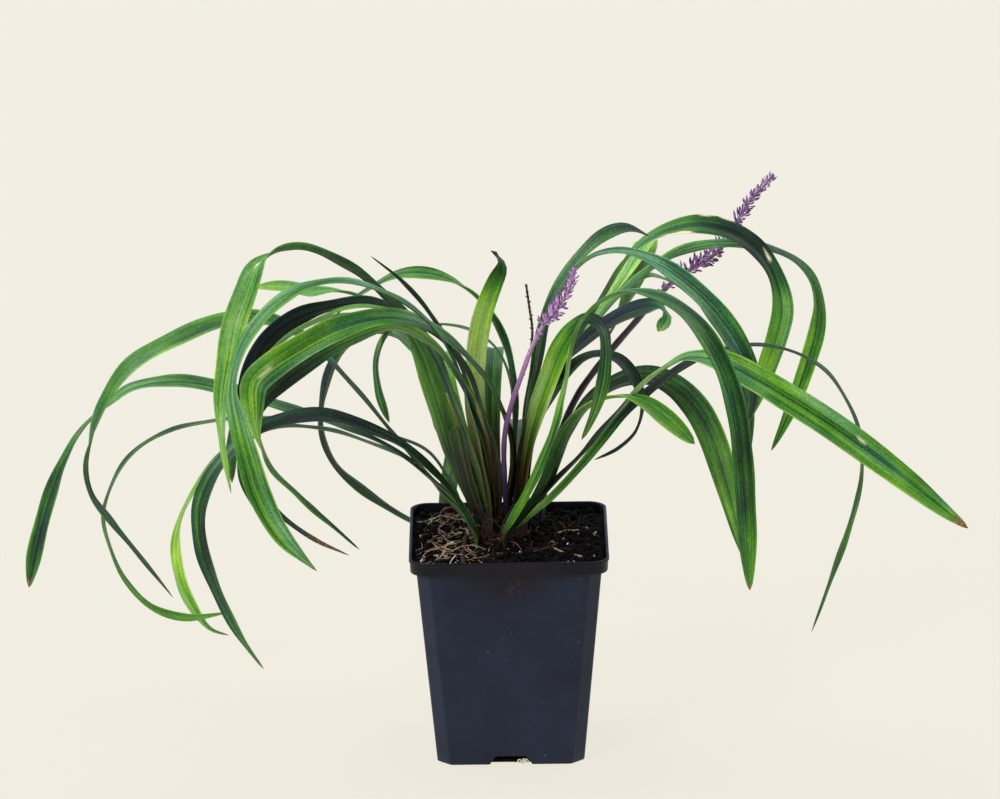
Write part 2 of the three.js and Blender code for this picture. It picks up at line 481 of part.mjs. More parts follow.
function soilCore() {
  const inset = pot.wall + soil.gap;
  const shelf = pot.height - pot.rimBand + pot.wall + soil.gap;
  const low = pot.floorTop + soil.gap;
  return skinRings([
    squareRing(bodyHalf(low) - inset, pot.chamfer - 0.5, 0, low),
    squareRing(pot.bodyTopHalf - inset, pot.chamfer - 0.5, 0, shelf),
    squareRing(pot.rimHalf - inset - 0.4, pot.rimCorner - pot.wall, 1, shelf),
    squareRing(pot.rimHalf - inset - 0.4, pot.rimCorner - pot.wall, 1, crown.top),
  ]);
}

function rootSolid(run, radius) {
  const points = run.map(([x, y]) => new THREE.Vector3(x, y, soilHeight(x, y) + roots.rise));
  const curve = new THREE.CatmullRomCurve3(points, false, "centripetal");
  return tube(curve, run.length + 3, () => radius, roots.sides);
}

function makeSoilAndRoots(holes) {
  const rootMat = fuse(rootRuns.map((run) => rootSolid(run, roots.radius)));
  const grooves = fuse(rootRuns.map((run) => rootSolid(run, roots.radius + roots.gap)));
  const ground = soilBlock().intersect(soilCore()).subtract(fuse(holes)).subtract(grooves);
  addPiece("soil", outerBody(ground), "soil");
  addPiece("surface_roots", rootMat, "roots");
}

// --- Leaves ------------------------------------------------------------------------------------

// The blade's width at a share of its length: narrow at the root, full beyond the middle, then pointed.
function widthShare(share, tip) {
  const swell = blade.rootShare + (1 - blade.rootShare) * THREE.MathUtils.smoothstep(share, 0, blade.fullAt);
  const left = Math.max(0, Math.min(1, (1 - share) / tip));
  return swell * Math.sqrt(1 - (1 - left) ** 2);
}

function leafSolid({ width, tip = 0.2, rule = "eye", route }) {
  const points = route.map(place);
  const curve = new THREE.CatmullRomCurve3(points, false, "centripetal");
  const lengths = [0];
  for (let i = 1; i < points.length; i++) {
    lengths.push(lengths[i - 1] + points[i].distanceTo(points[i - 1]));
  }
  const whole = lengths[lengths.length - 1];
  const hand = points[0].x > points[points.length - 1].x ? 1 : -1;
  const rings = points.map((point, i) => {
    const along = curve.getTangent(i / (points.length - 1));
    const toward = rule === "sky" ? new THREE.Vector3(0, 0, 1) : eye.clone().sub(point).normalize();
    const facing = toward.addScaledVector(along, -toward.dot(along)).normalize();
    const turn = THREE.MathUtils.degToRad(route[i][3]) * (rule === "sky" ? 1 : hand);
    const upper = facing.applyAxisAngle(along, turn);
    const side = new THREE.Vector3().crossVectors(along, upper);
    const half = Math.max(blade.tipHalf, (width / 2) * widthShare(lengths[i] / whole, tip));
    const corner = (across, lift) =>
      point.clone().addScaledVector(side, across * half).addScaledVector(upper, lift);
    const rise = half * blade.channel;
    const thin = blade.thickness / 2;
    return [corner(-1, rise + thin), corner(0, thin), corner(1, rise + thin),
      corner(1, rise - thin), corner(0, -thin), corner(-1, rise - thin)];
  });
  return skinBlade(rings);
}

// Skins a blade with the same diagonals on its upper and under face.
function skinBlade(rings) {
  const points = rings.flat();
  const triangles = [];
  for (let r = 0; r + 1 < rings.length; r++) {
    for (let i = 0; i < 6; i++) {
      const a = r * 6 + i;
      const b = r * 6 + ((i + 1) % 6);
      if (i < 3) {
        triangles.push([a, b, b + 6], [a, b + 6, a + 6]);
      } else {
        triangles.push([a, b, a + 6], [b, b + 6, a + 6]);
      }
    }
  }
  const last = (rings.length - 1) * 6;
  for (const [a, b, c] of [[0, 5, 4], [0, 4, 1], [1, 4, 3], [1, 3, 2]]) {
    triangles.push([a, b, c], [last + a, last + c, last + b]);
  }
  return closedSolid(points, triangles);
}

function makeShoots() {
  const holes = [];
  for (const [name, { root, leaves }] of Object.entries(shoots)) {
    const base = upright(crown.radius, crown.foot, crown.top, root, crown.sides, crown.topRadius);
    addPiece(name, outerBody(fuse([base, ...leaves.map(leafSolid)])), "leaf");
    holes.push(upright(crown.radius + crown.holeGap, crown.foot - crown.holeGap, crown.top, root, 12));
  }
  return holes;
}

// --- Flowers -----------------------------------------------------------------------------------

// A tube along a curve, with its radius given at each share of the way.
function tube(curve, steps, radiusAt, sides) {
  const frames = curve.computeFrenetFrames(steps, false);
  const rings = [];
  for (let i = 0; i <= steps; i++) {
    const centre = curve.getPointAt(i / steps);
    const radius = radiusAt(i / steps);
    rings.push(Array.from({ length: sides }, (unused, k) => {
      const angle = (k / sides) * Math.PI * 2;
      return centre.clone()
        .addScaledVector(frames.normals[i], radius * Math.cos(angle))
        .addScaledVector(frames.binormals[i], radius * Math.sin(angle));
    }));
  }
  return skinRings(rings);
}

function curveThrough(points) {
  return new THREE.CatmullRomCurve3(points, false, "centripetal");
}

// A stalk's line, which goes straight down into its own hole in the soil.
function rooted(stem) {
  const points = stem.map(place);
  const [{ x, y }] = points;
  return curveThrough([new THREE.Vector3(x, y, crown.foot + stalk.sink), ...points]);
}

// One bud: a spindle that leaves the axis at a slant, with its thickest part beyond the middle.
function budSolid(foot, direction, length, radius) {
  const side = new THREE.Vector3(0, 0, 1).cross(direction).normalize();
  const other = new THREE.Vector3().crossVectors(direction, side);
  const belly = foot.clone().addScaledVector(direction, length * 0.6);
  const around = [0, 1, 2, 3].map((k) => belly.clone()
    .addScaledVector(side, radius * Math.cos((k * Math.PI) / 2))
    .addScaledVector(other, radius * Math.sin((k * Math.PI) / 2)));
  const points = [foot, ...around, foot.clone().addScaledVector(direction, length)];
  const triangles = [];
  for (let k = 1; k <= 4; k++) {
    const next = (k % 4) + 1;
    triangles.push([0, next, k], [5, k, next]);
  }
  return closedSolid(points, triangles);
}

// The buds stand round the spike's axis on an even spiral and get shorter towards its tip.
function spikeSolid({ spike, radius, spikeWidth }) {
  const curve = curveThrough(spike.map(place));
  const length = curve.getLength();
  const start = stalk.gap / length;
  const steps = Math.round(length / 7);
  const points = Array.from({ length: steps + 1 }, (unused, i) =>
    curve.getPointAt(start + ((0.985 - start) * i) / steps));
  const parts = [tube(curveThrough(points), steps, (share) => radius * (0.8 - 0.4 * share), 6)];
  const count = Math.round(length * bud.perMillimetre);
  for (let k = 0; k < count; k++) {
    const share = 0.05 + 0.9 * (k / count);
    const along = curve.getTangentAt(share);
    const across = new THREE.Vector3(0, -1, 0).cross(along).normalize();
    const out = across.applyAxisAngle(along, k * bud.turn);
    const slant = out.addScaledVector(along, bud.lean + share * 0.6).normalize();
    const taper = 1 - 0.55 * share ** 2;
    const foot = curve.getPointAt(share).addScaledVector(slant, bud.sink * radius * 0.4);
    parts.push(budSolid(foot, slant, (spikeWidth / 2) * taper, 0.95 * taper));
  }
  return fuse(parts);
}

// A stalk stops just short of the spike that it carries.
function stemSolid({ stem, radius }) {
  const curve = rooted(stem);
  const reach = 1 - stalk.gap / curve.getLength();
  const steps = stem.length + 1;
  const points = Array.from({ length: steps + 1 }, (unused, i) => curve.getPointAt((reach * i) / steps));
  return tube(curveThrough(points), steps + 1, (share) => radius * (1.15 - 0.25 * share), stalk.sides);
}

function holeFor({ stem, radius }) {
  const foot = place(stem[0]);
  return upright(radius * 1.2 + stalk.holeGap, crown.foot + 1, crown.top, [foot.x, foot.y], 8);
}

function makeFlowers() {
  const holes = [];
  for (const [name, flower] of Object.entries(flowers)) {
    addPiece(`flower_stalk_${name}`, stemSolid(flower), "stem");
    addPiece(`flower_spike_${name}`, spikeSolid(flower), "flower");
    holes.push(holeFor(flower));
  }
  const curve = rooted(spentStalk.stem);
  const scars = spentStalk.scars.map((share) => {
    const knot = new THREE.OctahedronGeometry(spentStalk.radius * 1.7);
    return solidOf(knot.translate(...curve.getPointAt(share * 0.985).toArray()));
  });
  addPiece("spent_stalk", fuse([stemSolid(spentStalk), ...scars]), "spent");
  holes.push(holeFor(spentStalk));
  return holes;
}

makePot();
const shootHoles = makeShoots();
const stalkHoles = makeFlowers();
makeSoilAndRoots([...shootHoles, ...stalkHoles]);

export default group;
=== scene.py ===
# A potted lilyturf: six leafy shoots, two flower spikes and a spent stalk in a square growing pot.
# Sizes are in millimetres, in the frame's axes, and turn to metres where a mesh is made.
import math
import random

import bpy
import numpy as np
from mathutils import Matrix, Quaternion, Vector, noise


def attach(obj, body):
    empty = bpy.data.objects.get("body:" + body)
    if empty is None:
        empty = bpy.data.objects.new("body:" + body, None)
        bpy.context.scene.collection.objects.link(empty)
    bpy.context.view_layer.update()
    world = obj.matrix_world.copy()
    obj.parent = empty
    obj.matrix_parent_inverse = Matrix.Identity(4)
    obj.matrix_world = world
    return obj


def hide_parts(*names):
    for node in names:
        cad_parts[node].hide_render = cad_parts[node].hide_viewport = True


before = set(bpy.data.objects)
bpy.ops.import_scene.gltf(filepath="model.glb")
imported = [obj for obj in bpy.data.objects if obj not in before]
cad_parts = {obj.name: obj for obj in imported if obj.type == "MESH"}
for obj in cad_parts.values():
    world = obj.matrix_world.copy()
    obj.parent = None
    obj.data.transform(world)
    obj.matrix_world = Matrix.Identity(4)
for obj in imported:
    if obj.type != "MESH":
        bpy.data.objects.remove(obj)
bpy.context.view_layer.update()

mm = 0.001

view = {
    "aim": (-3.25, 0, 163),
    "distance": 3000,
    "height": 17.0,  # degrees above level
    "roll": 0.62,  # degrees
    "lens": 239.4,
    "sensor": 36,
}


def viewDirection():
    angle = math.radians(view["height"])
    return Vector((0, math.cos(angle), -math.sin(angle)))


eye = np.array(Vector(view["aim"]) - view["distance"] * viewDirection())


def makeCamera():
    data = bpy.data.cameras.new("camera")
    data.lens = view["lens"]
    data.sensor_width = view["sensor"]
    camera = bpy.data.objects.new("camera", data)
    bpy.context.scene.collection.objects.link(camera)
    camera.location = Vector(eye) * mm
    camera.rotation_mode = "QUATERNION"
    roll = Quaternion((0, 0, 1), -math.radians(view["roll"]))
    camera.rotation_quaternion = viewDirection().to_track_quat("-Z", "Y") @ roll
    bpy.context.scene.camera = camera


# A colour from its sRGB hex value, in linear light.
def linear(hexColour):
    channels = [int(hexColour[i : i + 2], 16) / 255 for i in (1, 3, 5)]
    return [c / 12.92 if c <= 0.04045 else ((c + 0.055) / 1.055) ** 2.4 for c in channels] + [1.0]


# Adds a node with its settings, the values of its inputs and the outputs they are linked to.
def addNode(tree, kind, settings=None, values=None, links=None):
    node = tree.nodes.new(kind)
    for name, value in (settings or {}).items():
        setattr(node, name, value)
    for name, value in (values or {}).items():
        node.inputs[name].default_value = value
    for name, source in (links or {}).items():
        tree.links.new(source, node.inputs[name])
    return node


def newMaterial(name):
    material = bpy.data.materials.new(name)
    material.use_nodes = True
    material.node_tree.nodes.clear()
    return material, material.node_tree


# Fills a colour ramp with (position, hex colour) stops.
def fillRamp(ramp, stops):
    elements = ramp.color_ramp.elements
    while len(elements) < len(stops):
        elements.new(0.5)
    for element, (position, colour) in zip(elements, stops):
        element.position = position
        element.color = linear(colour)


def finishMaterial(tree, shader):
    addNode(tree, "ShaderNodeOutputMaterial", links={"Surface": shader.outputs[0]})


# A heap gathers places, faces and marks (numbers kept at each place) until they become one mesh.
def newHeap(*marks):
    return {"places": [], "faces": [], "count": 0, "marks": {name: [] for name in marks}}


def addToHeap(heap, places, faces, **marks):
    places = np.asarray(places, float).reshape(-1, 3)
    start = heap["count"]
    heap["places"].append(places)
    heap["faces"].extend([i + start for i in face] for face in faces)
    for name, values in heap["marks"].items():
        values.append(np.broadcast_to(np.asarray(marks[name], float), len(places)))
    heap["count"] += len(places)


def makePiece(name, heap, material, replaced=()):
    mesh = bpy.data.meshes.new(name)
    places = np.vstack(heap["places"]) * mm
    mesh.from_pydata(places.tolist(), [], heap["faces"])
    for mark, values in heap["marks"].items():
        layer = mesh.attributes.new(mark, "FLOAT", "POINT")
        layer.data.foreach_set("value", np.concatenate(values).astype(np.float32))
    mesh.polygons.foreach_set("use_smooth", [True] * len(mesh.polygons))
    mesh.materials.append(material)
    piece = bpy.data.objects.new(name, mesh)
    bpy.context.scene.collection.objects.link(piece)
    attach(piece, "root")
    if replaced:
        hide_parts(*replaced)
    return piece


# A smooth run through rows of numbers that begin with x, y, z, with a row about every step.
# It is a centripetal Catmull-Rom curve, so it keeps to the rows without overshoot.
def smoothRun(rows, step):
    rows = np.array(rows, float)
    whole = np.vstack([2 * rows[0] - rows[1], rows, 2 * rows[-1] - rows[-2]])
    gaps = np.sqrt(np.linalg.norm(np.diff(whole[:, :3], axis=0), axis=1))
    run = []
    for i in range(len(rows) - 1):
        a, b, c, d = whole[i : i + 4]
        before, here, after = gaps[i : i + 3]
        leaving = ((b - a) / before - (c - a) / (before + here) + (c - b) / here) * here
        arriving = ((c - b) / here - (d - b) / (here + after) + (d - c) / after) * here
        count = max(1, round(np.linalg.norm((c - b)[:3]) / step))
        t = np.arange(count)[:, None] / count
        bend = 3 * (c - b) - 2 * leaving - arriving
        curl = 2 * (b - c) + leaving + arriving
        run.append(b + leaving * t + bend * t**2 + curl * t**3)
    return np.vstack(run + [rows[-1:]])


def unit(vectors):
    return vectors / np.maximum(np.linalg.norm(vectors, axis=-1, keepdims=True), 1e-9)


def smoothstep(x, low, high):
    t = np.clip((x - low) / (high - low), 0, 1)
    return t * t * (3 - 2 * t)


# How far along its run each row lies.
def walkedLengths(run):
    return np.concatenate([[0], np.cumsum(np.linalg.norm(np.diff(run, axis=0), axis=1))])


# The numbers of the rows at other distances along the run, read off between the rows.
def readAt(at, lengths, rows):
    return np.stack([np.interp(at, lengths, column) for column in rows.T], axis=-1)


# Routes are drawn as if on an upright sheet through the pot's axis, looked at from the eye: a row is
# (across, up, back), and back carries it along the line of sight to that depth behind the sheet.
def place(across, up, back):
    reach = 1 - back / eye[1]
    return (eye[0] + (across - eye[0]) * reach, back, eye[2] + (up - eye[2]) * reach)


# Quads between rings of places that follow each other.
def ringFaces(rings, sides):
    return [[a + k, a + (k + 1) % sides, a + sides + (k + 1) % sides, a + sides + k]
            for a in range(0, (rings - 1) * sides, sides) for k in range(sides)]


# The same, with a flat face over the first ring and one over the last.
def closedFaces(rings, sides):
    last = (rings - 1) * sides
    return ringFaces(rings, sides) + [list(range(sides))[::-1], list(range(last, last + sides))]


# A round tube along a run, closed at both ends. There is a radius for each row of the run.
def addTube(heap, run, radii, sides, **marks):
    run = np.asarray(run, float)
    along = unit(np.gradient(run, axis=0))
    angles = np.arange(sides) / sides * 2 * math.pi
    normal = unit(np.cross(along[0], (0.31, 0.87, 0.39)))  # any way across the run will do to start with
    places = []
    for centre, ahead, radius in zip(run, along, radii):
        normal = unit(normal - ahead * np.dot(normal, ahead))
        other = np.cross(ahead, normal)
        places.append(centre + radius * (np.outer(np.cos(angles), normal) + np.outer(np.sin(angles), other)))
    everyPlace = {name: np.repeat(values, sides) if np.ndim(values) else values
                  for name, values in marks.items()}
    addToHeap(heap, np.vstack(places), closedFaces(len(run), sides), **everyPlace)


# The leaves of each shoot. A route's rows are (across, up, back, turn), and turn rolls the blade from
# lying flat to the eye (0) through edge-on (90) to showing its underside (180). With the sky rule it is
# counted from lying flat to the sky. tone runs from near-black green (0) to lime (1); it is partly the
# leaf's own green and partly painted shade and painted glow of light through the blade, set along each
# leaf. The sheen runs from none (0) to a full painted blue-green sheen of reflected sky light (1). A list
# of either is spread evenly from root to tip. dry is the length of withered tip. Each scar is (share of
# the length, across, half length, half width across, torn through).
shoots = {
    "shoot_left_low": {
        "root": (-15, -16.3), "sheaths": (5, 10),
        "leaves": [
            {"width": 9.5, "tone": [0.34, 0.22, 0.3, 0.46, 0.5, 0.3, 0.36], "flush": 0.3,
             "route": [(-15.5, 99, -15, 80), (-21, 109, -6, 80), (-33, 123, 10, 80), (-51, 146, 22, 79),
                       (-67, 166.5, 31, 79), (-88, 190, 38, 65), (-105, 201, 41, 52),
                       (-126, 201.5, 42, 42), (-149.5, 192.5, 42, 40), (-169.5, 180.5, 41, 46),
                       (-181, 164.5, 40, 58), (-187.2, 149, 39, 80), (-190.2, 133, 38, 102),
                       (-188, 120.4, 37, 106), (-179, 107, 36, 108), (-163, 85, 34, 104),
                       (-153, 70.4, 32, 100)]},
            {"width": 9, "tip": 0.05, "tone": [0.3, 0.18, 0.3, 0.45, 0.5, 0.34, 0.32], "dry": 1.5,
             "flush": 0.3,
             "route": [(-15, 99, -16, 78), (-20.5, 109.5, -11, 78), (-33, 123.5, 4, 76),
                       (-53, 140.5, 15, 74), (-77, 151.5, 28, 72), (-105, 161.5, 44, 58),
                       (-132, 170.3, 57, 45), (-150, 173, 65, 54), (-169, 170, 73, 64),
                       (-181, 161.5, 78, 76), (-191, 152, 81, 86), (-200.5, 135.7, 84, 62),
                       (-207, 120, 86, 46), (-213, 100, 88, 38), (-218.5, 76, 89, 50)]},
            {"width": 9.5, "tone": [0.5, 0.34, 0.2, 0.22, 0.26, 0.28, 0.36, 0.46], "flush": 0.25, "painted_sheen": 0.2,
             "route": [(-14.5, 98, -17, 62), (-16.8, 102.5, -19, 60), (-21, 110.5, -20, 62),
                       (-29.4, 123.7, -20, 64), (-46.5, 141, -23, 60), (-60, 148.5, -27, 58),
                       (-80.6, 156, -32, 50), (-99.6, 154.5, -36, 50), (-114, 149, -39, 54),
                       (-125.5, 138.8, -41, 56), (-133.8, 128, -43, 50), (-139.6, 113, -45, 46),
                       (-139.2, 96, -47, 50), (-134.8, 80, -48, 56), (-124, 54.5, -50, 64),
                       (-112.5, 35.6, -51, 70)]},
            {"width": 8, "tone": [0.4, 0.34, 0.36, 0.2, 0.66, 0.8, 0.5], "flush": 0.3,
             "route": [(-16, 99, -15, 78), (-21.5, 108.5, -8, 80), (-29, 117, 3, 80),
                       (-40, 131.5, 13, 82), (-60, 142, 26, 82), (-80, 149, 38, 82), (-102, 151, 52, 82),
                       (-120, 144.5, 64, 83), (-133.5, 134.5, 73, 80), (-142, 121, 80, 82),
                       (-148, 109, 85, 76), (-150.6, 94, 89, 56), (-149.4, 82, 91, 44),
                       (-146, 70.5, 92, 42), (-136.6, 55.7, 93, 58), (-128, 52, 93, 65)]},
            {"width": 7, "tone": [0.34, 0.25, 0.3, 0.35, 0.45, 0.6], "flush": 0.3,
             "route": [(-14.5, 99, -15, 80), (-20.8, 110, -9, 80), (-26.2, 123.5, 3, 80),
                       (-35.7, 138.2, 16, 82), (-49.6, 145.5, 24, 82), (-78, 154, 38, 82),
                       (-107, 155.4, 50, 82), (-131, 154.3, 58, 80), (-151.6, 149.8, 64, 77),
                       (-166.6, 141.8, 68, 78), (-177, 129, 71, 80), (-183.2, 111, 74, 84),
                       (-181, 96, 75, 80), (-174.5, 80.3, 75, 76), (-163, 66.8, 74, 60),
                       (-148, 61.2, 72, 42), (-128, 63, 69, 50)]},
        ],
    },
    "shoot_left_high": {
        "root": (-8.5, -4), "sheaths": (12, 30),
        "leaves": [
            {"width": 11, "tone": [0.45, 0.5, 0.38, 0.28, 0.3, 0.46, 0.62, 0.56, 0.64], "painted_sheen": 0.12,
             "scars": [(0.668, 0.1, 2.2, 0.11, True)],
             "route": [(-10, 102, -4, 108), (-14.5, 128, -9, 112), (-24, 161, -17, 112),
                       (-36, 190, -24, 112), (-53, 210, -32, 110), (-70, 225, -40, 110),
                       (-90, 234.5, -48, 108), (-102, 233.5, -52, 98), (-107.5, 230.5, -54, 80),
                       (-112.3, 224.5, -56, 44), (-117, 213.5, -58, 20), (-122, 200, -60, 12),
                       (-125.2, 184, -62, 28), (-128.3, 166, -63, 54), (-128.5, 148, -63, 66),
                       (-125.5, 120, -61, 74)]},
            {"width": 11.2, "tip": 0.13, "tone": [0.3, 0.32, 0.34, 0.42, 0.46, 0.48, 0.52, 0.5, 0.56],
             "painted_sheen": [0.3, 0.6, 0.75, 0.55, 0.36, 0.36, 0.3, 0.2],
             "route": [(-8, 102, -7, 80), (-11, 130, -16, 82), (-18, 163, -26, 84), (-30, 193, -38, 84),
                       (-50, 211, -52, 84), (-71.6, 218.6, -63, 80), (-89.5, 216.4, -70, 72),
                       (-102, 209, -76, 62), (-111.5, 199.3, -80, 60), (-118.8, 187, -83, 70),
                       (-123, 170, -86, 66), (-120.8, 154, -87, 42), (-117, 137, -89, 26),
                       (-112.4, 120, -89, 22), (-103, 100.5, -88, 34), (-87.4, 82.4, -87, 62)]},
            {"width": 10, "tone": [0.24, 0.18, 0.18, 0.21, 0.14, 0.1, 0.12, 0.3], "dry": 24,
             "painted_sheen": [0.3, 0.5, 0.9, 1.1, 0.5, 0, 0, 0],
             "route": [(-6.5, 102, -2, 95), (-4.5, 126, -2, 98), (-9.5, 150, -5, 102),
                       (-22, 183, -11, 104), (-42, 200.3, -17, 108), (-61.5, 209, -21, 112),
                       (-81, 206.6, -24, 124), (-94, 202, -26, 142), (-106.7, 192.3, -28, 148),
                       (-114.5, 178, -30, 146), (-118, 160, -31, 138), (-117, 140, -31, 122),
                       (-111, 121, -31, 110), (-101, 108.2, -31, 106), (-87, 97.6, -31, 104),
                       (-72.4, 89.6, -31, 98)]},
            {"width": 5, "tone": [0.3, 0.42, 0.58, 0.5],
             "route": [(-6.5, 102, -6, 80), (-3.5, 122, -11, 80), (-5, 141, -14, 80),
                       (-12, 158.5, -16, 80), (-23, 177, -19, 80), (-45, 202, -25, 78),
                       (-60, 207, -29, 75), (-72, 206.3, -32, 75), (-85, 201.4, -35, 75),
                       (-97, 195, -37, 75), (-107, 187, -39, 72)]},
            {"width": 12.8, "tip": 0.3, "tone": [0.35, 0.3, 0.3, 0.36, 0.46, 0.6, 0.7, 0.54, 0.34],
             "painted_sheen": 0.1, "scars": [(0.675, 0.05, 3.4, 0.12, False)],
             "route": [(-6.5, 102, -4, 72), (-1, 117, -3, 74), (1.5, 140, -7, 76), (-8, 169.5, -18, 82),
                       (-28, 192, -31, 72), (-42, 200, -39, 62), (-57, 201.5, -44, 52),
                       (-77, 196, -51, 36), (-95, 186.5, -57, 24), (-107, 178.5, -60, 12),
                       (-113.5, 171.5, -62, 14), (-114, 160, -64, 42), (-112.4, 147.5, -64, 78),
                       (-106.8, 132.5, -64, 96), (-95, 119.5, -62, 102), (-80, 104.7, -60, 104),
                       (-67.8, 92.5, -59, 100)]},
            {"width": 9.4, "tone": [0.2, 0.12, 0.12, 0.3, 0.6, 0.52, 0.2, 0.4, 0.4], "dry": 7,
             "route": [(-7, 102, -6, 85), (-8, 130, -17, 90), (-17, 162, -28, 100), (-33, 188, -38, 110),
                       (-50, 197.5, -41, 120), (-70, 192, -43, 132), (-88, 181.5, -45, 145),
                       (-101.5, 171.5, -47, 148), (-111.5, 160.5, -49, 132), (-119, 143, -51, 112),
                       (-120.5, 129, -52, 110), (-115, 112, -52, 104)]},
            {"width": 9.5, "tip": 0.08, "tone": [0.35, 0.52, 0.58, 0.42, 0.3],
             "route": [(-11, 102, -2, 140), (-18.5, 119.4, -3, 150), (-24.3, 135.3, -5, 164),
                       (-29, 152, -7, 172), (-34.2, 170.3, -9, 172), (-39, 185, -8, 150),
                       (-44, 194, -5, 122), (-49.5, 197, -1, 102), (-55, 191.5, 5, 84),
                       (-58.2, 180.6, 10, 75), (-57, 168, 13, 71), (-53.4, 152.6, 15, 68)]},
            {"width": 6.2, "tip": 0.1, "tone": [0.3, 0.3, 0.28, 0.3, 0.34, 0.38, 0.54, 0.64], "dry": 0,
             "route": [(-9, 102, -1, 90), (-19, 145, 7, 90), (-33, 180, 13, 92), (-48, 200, 17, 94),
                       (-61, 209.8, 19, 94), (-73, 214.2, 21, 88), (-80, 214.7, 22, 66),
                       (-88, 214.6, 24, 36), (-96.5, 216.8, 26, 34), (-105, 217.4, 27, 26),
                       (-112.4, 216.8, 28, 30)]},
            {"width": 5, "tone": [0.3, 0.35, 0.25, 0.15],
             "route": [(-8, 102, -2, 100), (-12, 138, 0, 100), (-17, 166, 1, 105), (-24, 186, 1, 112),
                       (-30.5, 197, 1, 114), (-38.5, 209, 0, 112), (-48.7, 220.6, -2, 108),
                       (-60.7, 231, -4, 100)]},
            {"width": 6.5, "tip": 0.06, "tone": [0.25, 0.34, 0.42], "dry": 0, "flush": 1.3,
             "route": [(-11, 102, -6, 165), (-17, 118, -10, 165), (-21, 135, -13, 165),
                       (-24, 151, -15, 165)]},
        ],
    },
    "shoot_back": {
        "root": (-5, 9), "sheaths": (10, 26),
        "leaves": [
            {"width": 9.4, "tip": 0.06, "tone": [0.6, 0.8, 1.0, 0.95, 0.72, 0.1], "dry": 0,
             "route": [(-5, 102, 10, 12), (-10, 130, 12, 12), (-14.5, 158, 15, 10), (-14.2, 182, 18, 12),
                       (-10.8, 203, 21, 18), (-6, 217, 24, 34), (-3, 225, 26, 60), (-3.6, 229.5, 27, 92),
                       (-6.8, 232.8, 28, 118)]},
            {"width": 9.5, "rule": "sky", "tone": 0.4,
             "route": [(-5, 102, 12, 0), (-6, 126, 20, 0), (-7, 148, 30, 0), (-7, 167, 41, 0),
                       (-6.5, 181, 53, 0), (-6, 187, 68, 0), (-6, 184, 84, 0), (-7, 172, 99, 0),
                       (-8, 152, 110, 0), (-8, 130, 117, 0)]},
            {"width": 7.5, "tone": [0.3, 0.3, 0.34, 0.5, 0.48, 0.3],
             "route": [(-3, 102, 9, 108), (1.8, 135, 15, 112), (3, 162, 21, 115), (0, 186, 27, 115),
                       (-7, 202.5, 31, 112), (-16, 213.5, 33, 98), (-26, 219.5, 34, 62),
                       (-38, 222.5, 35, 46), (-49, 221.5, 35, 58), (-60, 216, 35, 78),
                       (-70, 209.5, 35, 85), (-79, 201, 35, 85)]},
            {"width": 5, "tone": 0.4,
             "route": [(-3.5, 102, 11, 85), (2, 140, 22, 85), (2, 168, 31, 85), (-4, 186, 39, 84),
                       (-15, 195, 45, 82), (-28, 198.5, 49, 80), (-42, 197, 53, 78)]},
            {"width": 8, "tone": [0.3, 0.3, 0.24, 0.26, 0.36],
             "route": [(-7, 102, 8, 85), (-17, 145, 24, 85), (-32, 178, 40, 84), (-50, 193, 52, 80),
                       (-63, 194.5, 59, 68), (-72, 189, 63, 58), (-79, 178, 66, 60),
                       (-83.2, 161, 68, 70), (-83, 147, 69, 74), (-78, 134, 70, 68),
                       (-67.5, 123, 71, 60), (-52, 111.3, 72, 62), (-35, 101, 72, 65)]},
            {"width": 8, "rule": "sky", "tone": [0.7, 0.8, 0.45, 0.4],
             "route": [(-7, 102, 10, 0), (-17, 130, 20, 0), (-23, 155, 34, 0), (-27, 172, 48, 0),
                       (-29, 183, 62, 0), (-30, 185, 78, 0), (-31, 178, 94, 0), (-32, 163, 106, 0),
                       (-32, 148, 114, 0)]},
            {"width": 8.5, "rule": "sky", "tone": 0.4,
             "route": [(-6, 102, 12, 0), (-13, 126, 30, 0), (-17, 142, 52, 0), (-20, 149, 80, 0),
                       (-22, 146, 106, 0), (-25, 133, 128, 0), (-28, 112, 144, 0), (-30, 92, 152, 0)]},
            {"width": 9, "rule": "sky", "tone": 0.42,
             "route": [(-6, 102, 11, 0), (-19, 145, 30, 0), (-34, 178, 50, 0), (-52, 197, 72, 0),
                       (-72, 203, 92, 0), (-92, 197, 110, 0), (-108, 184, 124, 0), (-118, 165, 134, 0),
                       (-124, 145, 140, 0), (-125, 125, 143, 0)]},
        ],
    },
    "shoot_right_low": {
        "root": (-1.5, -16.3), "sheaths": (5, 10),
        "leaves": [
            {"width": 12.5, "tip": 0.25,
             "tone": [0.36, 0.14, 0.1, 0.16, 0.64, 0.57, 0.58, 0.56, 0.56, 0.52, 0.6], "dry": 7,
             "flush": 0.2, "painted_sheen": 0.16, "scars": [(0.79, -0.35, 1.3, 0.13, False)],
             "route": [(-0.5, 98.5, -17, 80), (5, 104.5, -17.5, 80), (12, 112.5, -19, 80),
                       (22, 124, -24, 80), (34, 136.8, -30, 80), (44, 148.5, -35, 80),
                       (52, 158, -39, 84), (60, 167.5, -43, 88), (70, 176, -52, 86),
                       (82, 181.5, -60, 74), (95, 180, -66, 42), (110, 172.5, -71, 22),
                       (127, 162, -75, 10), (145, 150, -78, 5), (163, 136.5, -80, 5), (181, 122, -82, 8),
                       (197, 108.5, -84, 12), (208.5, 99.5, -85, 20)]},
            {"width": 6.5, "tone": [0.55, 0.62, 0.6, 0.14, 0.1, 0.16, 0.2, 0.25, 0.42, 0.42, 0.36],
             "flush": 0.1,
             "route": [(0, 98.5, -15, 40), (8, 106, -11.5, 36), (19, 115.5, -9.5, 32),
                       (33, 131, -11, 30), (45, 146, -13, 32), (55, 158, -15, 42), (66, 167.5, -18, 50),
                       (78, 176.5, -21, 56), (91, 183, -24, 72), (105, 186.8, -27, 82),
                       (119, 186.5, -29, 84), (132, 182.5, -31, 84), (144, 174, -33, 82),
                       (152, 162.5, -34, 82), (158, 148, -35, 84), (160, 132, -36, 82),
